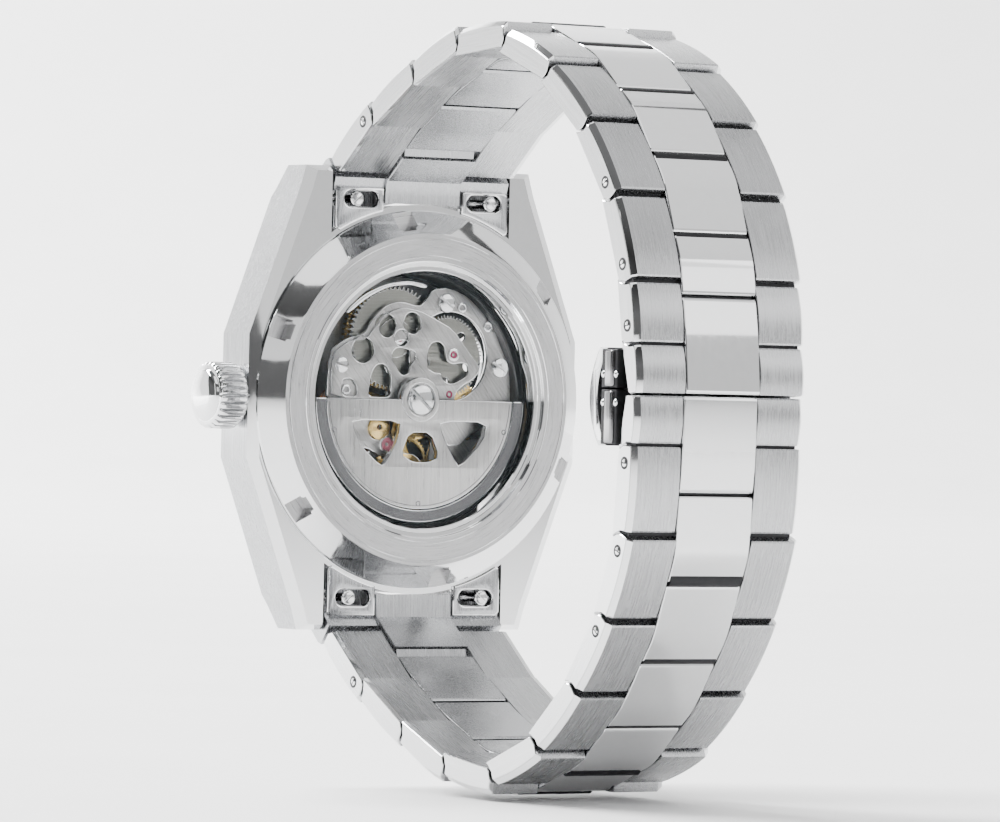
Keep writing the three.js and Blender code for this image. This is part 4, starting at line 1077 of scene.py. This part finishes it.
def hand(name, node, body, centre, length, width, back, front, bore, material):
    """A lance-shaped hand from its hub to 12 o'clock, with a cut-out where it is wide enough."""
    def mirrored(half):
        points = [(width * across, length * along) for across, along in half]
        return [(centre[0] + u, centre[1] + v) for u, v in
                [(-u, v) for u, v in points] + points[::-1]]

    tip = 0.08 / width
    edge = mirrored([(0.35, bore / length), (0.5, 0.25), (0.62, 0.72), (tip, 1)])
    outlines = [edge + arc(*centre, bore + 0.85, 68, -248, 40), circle(*centre, bore, 32)]
    if width > 0.6:
        outlines.append(mirrored([(0.2, 0.35), (0.3, 0.68), (0.05 / width, 0.8)]))
    plate(name, outlines, back, front, [material], 0.02, body, [node])


hand("hour_lance", "hour_hand", "hour_hand", (0, 0), 8.5, 1.5, -8.65, -8.85, 0.8, POLISHED)
hand("minute_lance", "minute_hand", "centre_wheel", (0, 0), 12.6, 1.2, -9.05, -9.25, 0.4, POLISHED)
hand("seconds_needle", "second_hand", "fourth_wheel", CENTRES["fourth"], 3.6, 0.3, -8.88, -9.0, 0.2, BLUED)
arbor("minute_boss", "centre", 0.75, -9.0, -9.35, POLISHED, "centre_wheel")
on_stem = Matrix.Translation((12.35 * MM, LEVEL * MM, 0)) @ Matrix.Rotation(math.pi / 2, 4, "Z")
plate("winding_teeth", [gear(0, 0, 0.9, 12, 0.25)], 0.5, -0.5, [WHEEL_STEEL], 0.03, "winding_pinion",
      ["winding_pinion"], on_stem)

for node in frame["nodes"].values():
    if not node.data.materials:
        node.data.materials.append(BRUSHED_CASE)


# ---------------------------------------------------------------- floor, light and camera

AZIMUTH = 147.07
FLOOR_Z = min(corner[2] for corner in CAD_BOX) / MM - 0.05
WALL = {"near": -4000, "bend_at": 2000, "bend": 660, "top": 4600, "half_width": 5000}


def cyclorama():
    """A pale floor that curves up into a wall behind the watch."""
    builder = bmesh.new()
    angles = [math.radians(6 * k) for k in range(16)]
    curve = [(WALL["bend_at"] + WALL["bend"] * math.sin(a), FLOOR_Z + WALL["bend"] * (1 - math.cos(a)))
             for a in angles]
    run = [(WALL["near"], FLOOR_Z)] + curve + [(WALL["bend_at"] + WALL["bend"], WALL["top"])]
    away = math.radians(AZIMUTH)
    direction = Vector((-math.sin(away), math.cos(away), 0))
    side = Vector((direction.y, -direction.x, 0))
    rows = [[builder.verts.new(direction * along + side * across + Vector((0, 0, high)))
             for across in (-WALL["half_width"], WALL["half_width"])] for along, high in run]
    for low, high in zip(rows, rows[1:]):
        builder.faces.new((low[0], low[1], high[1], high[0]))
    floor = loose("studio_floor", builder, [PAPER])
    shade(floor.data, 30)
    return floor


cyclorama()


def softbox(name, direction, distance, width, height, power, target=(0, 20, 0)):
    """An area light at a direction from its target, facing it."""
    light = bpy.data.lights.new(name, "AREA")
    light.shape = "RECTANGLE"
    light.size = width * MM
    light.size_y = height * MM
    light.energy = power
    lamp = bpy.data.objects.new(name, light)
    lamp.visible_camera = False
    heading = Vector(direction).normalized()
    lamp.location = (Vector(target) + heading * distance) * MM
    lamp.rotation_euler = heading.to_track_quat("Z", "Y").to_euler()
    scene.collection.objects.link(lamp)


softbox("key_mirror", (-0.62, 0.79, 0.0), 520, 360, 420, 0.42)
softbox("key_high", (-0.60, 0.76, 0.36), 500, 360, 150, 0.34)
softbox("key_low", (-0.60, 0.76, -0.30), 500, 360, 130, 0.30)
softbox("outer_glow", (-0.54, 0.38, 0.72), 480, 300, 560, 0.70)
softbox("outer_top", (-0.54, -0.38, 0.76), 480, 300, 300, 0.34)
softbox("chamfer_high", (0.49, 0.78, 0.39), 520, 240, 160, 0.15)
softbox("chamfer_low", (0.49, 0.78, -0.39), 520, 240, 160, 0.12)
softbox("top_wide", (0.25, 0.45, 1.0), 480, 380, 300, 0.75)
softbox("flank_glow", (0.52, -0.84, 0.12), 460, 260, 420, 0.75)
softbox("left_side", (1.0, 0.25, 0.2), 460, 130, 420, 0.3)
softbox("right_side", (-1.0, -0.2, 0.35), 460, 200, 420, 0.35)
softbox("low_fill", (0.3, 0.9, -0.2), 520, 300, 120, 0.12)
softbox("wall_wash", (0.0, 0.0, 1.0), 2050, 3000, 660, 480, (1090, -1720, 0))

world = bpy.data.worlds.new("studio")
scene.world = world
graph = Graph(world, "Background")
coordinates = graph.add("ShaderNodeTexCoord")
parts = graph.add("ShaderNodeSeparateXYZ")
graph.link(coordinates.outputs["Generated"], parts.inputs[0])
height = graph.remap(parts.outputs[2], -1, 1, 0, 1)
# Bands of grey from below to above, which polished metal mirrors.
BANDS = ((0.0, 0.16), (0.30, 0.04), (0.42, 0.14), (0.60, 0.18), (0.72, 0.04), (0.86, 0.20), (1.0, 0.26))
graph.ramp(height, [(at, (value, value, value * 1.01)) for at, value in BANDS], graph.shader.inputs["Color"])
graph.shader.inputs["Strength"].default_value = 1.0

CAMERA = {"elevation": 0.1, "roll": 1.3, "distance": 700, "lens": 238.5, "aside": 7.61, "down": 1.18}
azimuth, elevation, roll = (math.radians(a) for a in (AZIMUTH, CAMERA["elevation"], CAMERA["roll"]))
backwards = Vector((math.sin(azimuth) * math.cos(elevation), -math.cos(azimuth) * math.cos(elevation),
                    math.sin(elevation)))
level_right = Vector((0, 0, 1)).cross(backwards).normalized()
level_up = backwards.cross(level_right)
right = level_right * math.cos(roll) + level_up * math.sin(roll)
up = level_up * math.cos(roll) - level_right * math.sin(roll)
eye = backwards * CAMERA["distance"] + right * CAMERA["aside"] - up * CAMERA["down"]
camera_data = bpy.data.cameras.new("camera")
camera_data.lens = CAMERA["lens"]
camera_data.sensor_width = 36
camera_data.clip_start = 0.05
camera_data.clip_end = 20
camera = bpy.data.objects.new("camera", camera_data)
matrix = Matrix((right, up, backwards)).transposed().to_4x4()
matrix.translation = eye * MM
camera.matrix_world = matrix
scene.collection.objects.link(camera)
scene.camera = camera
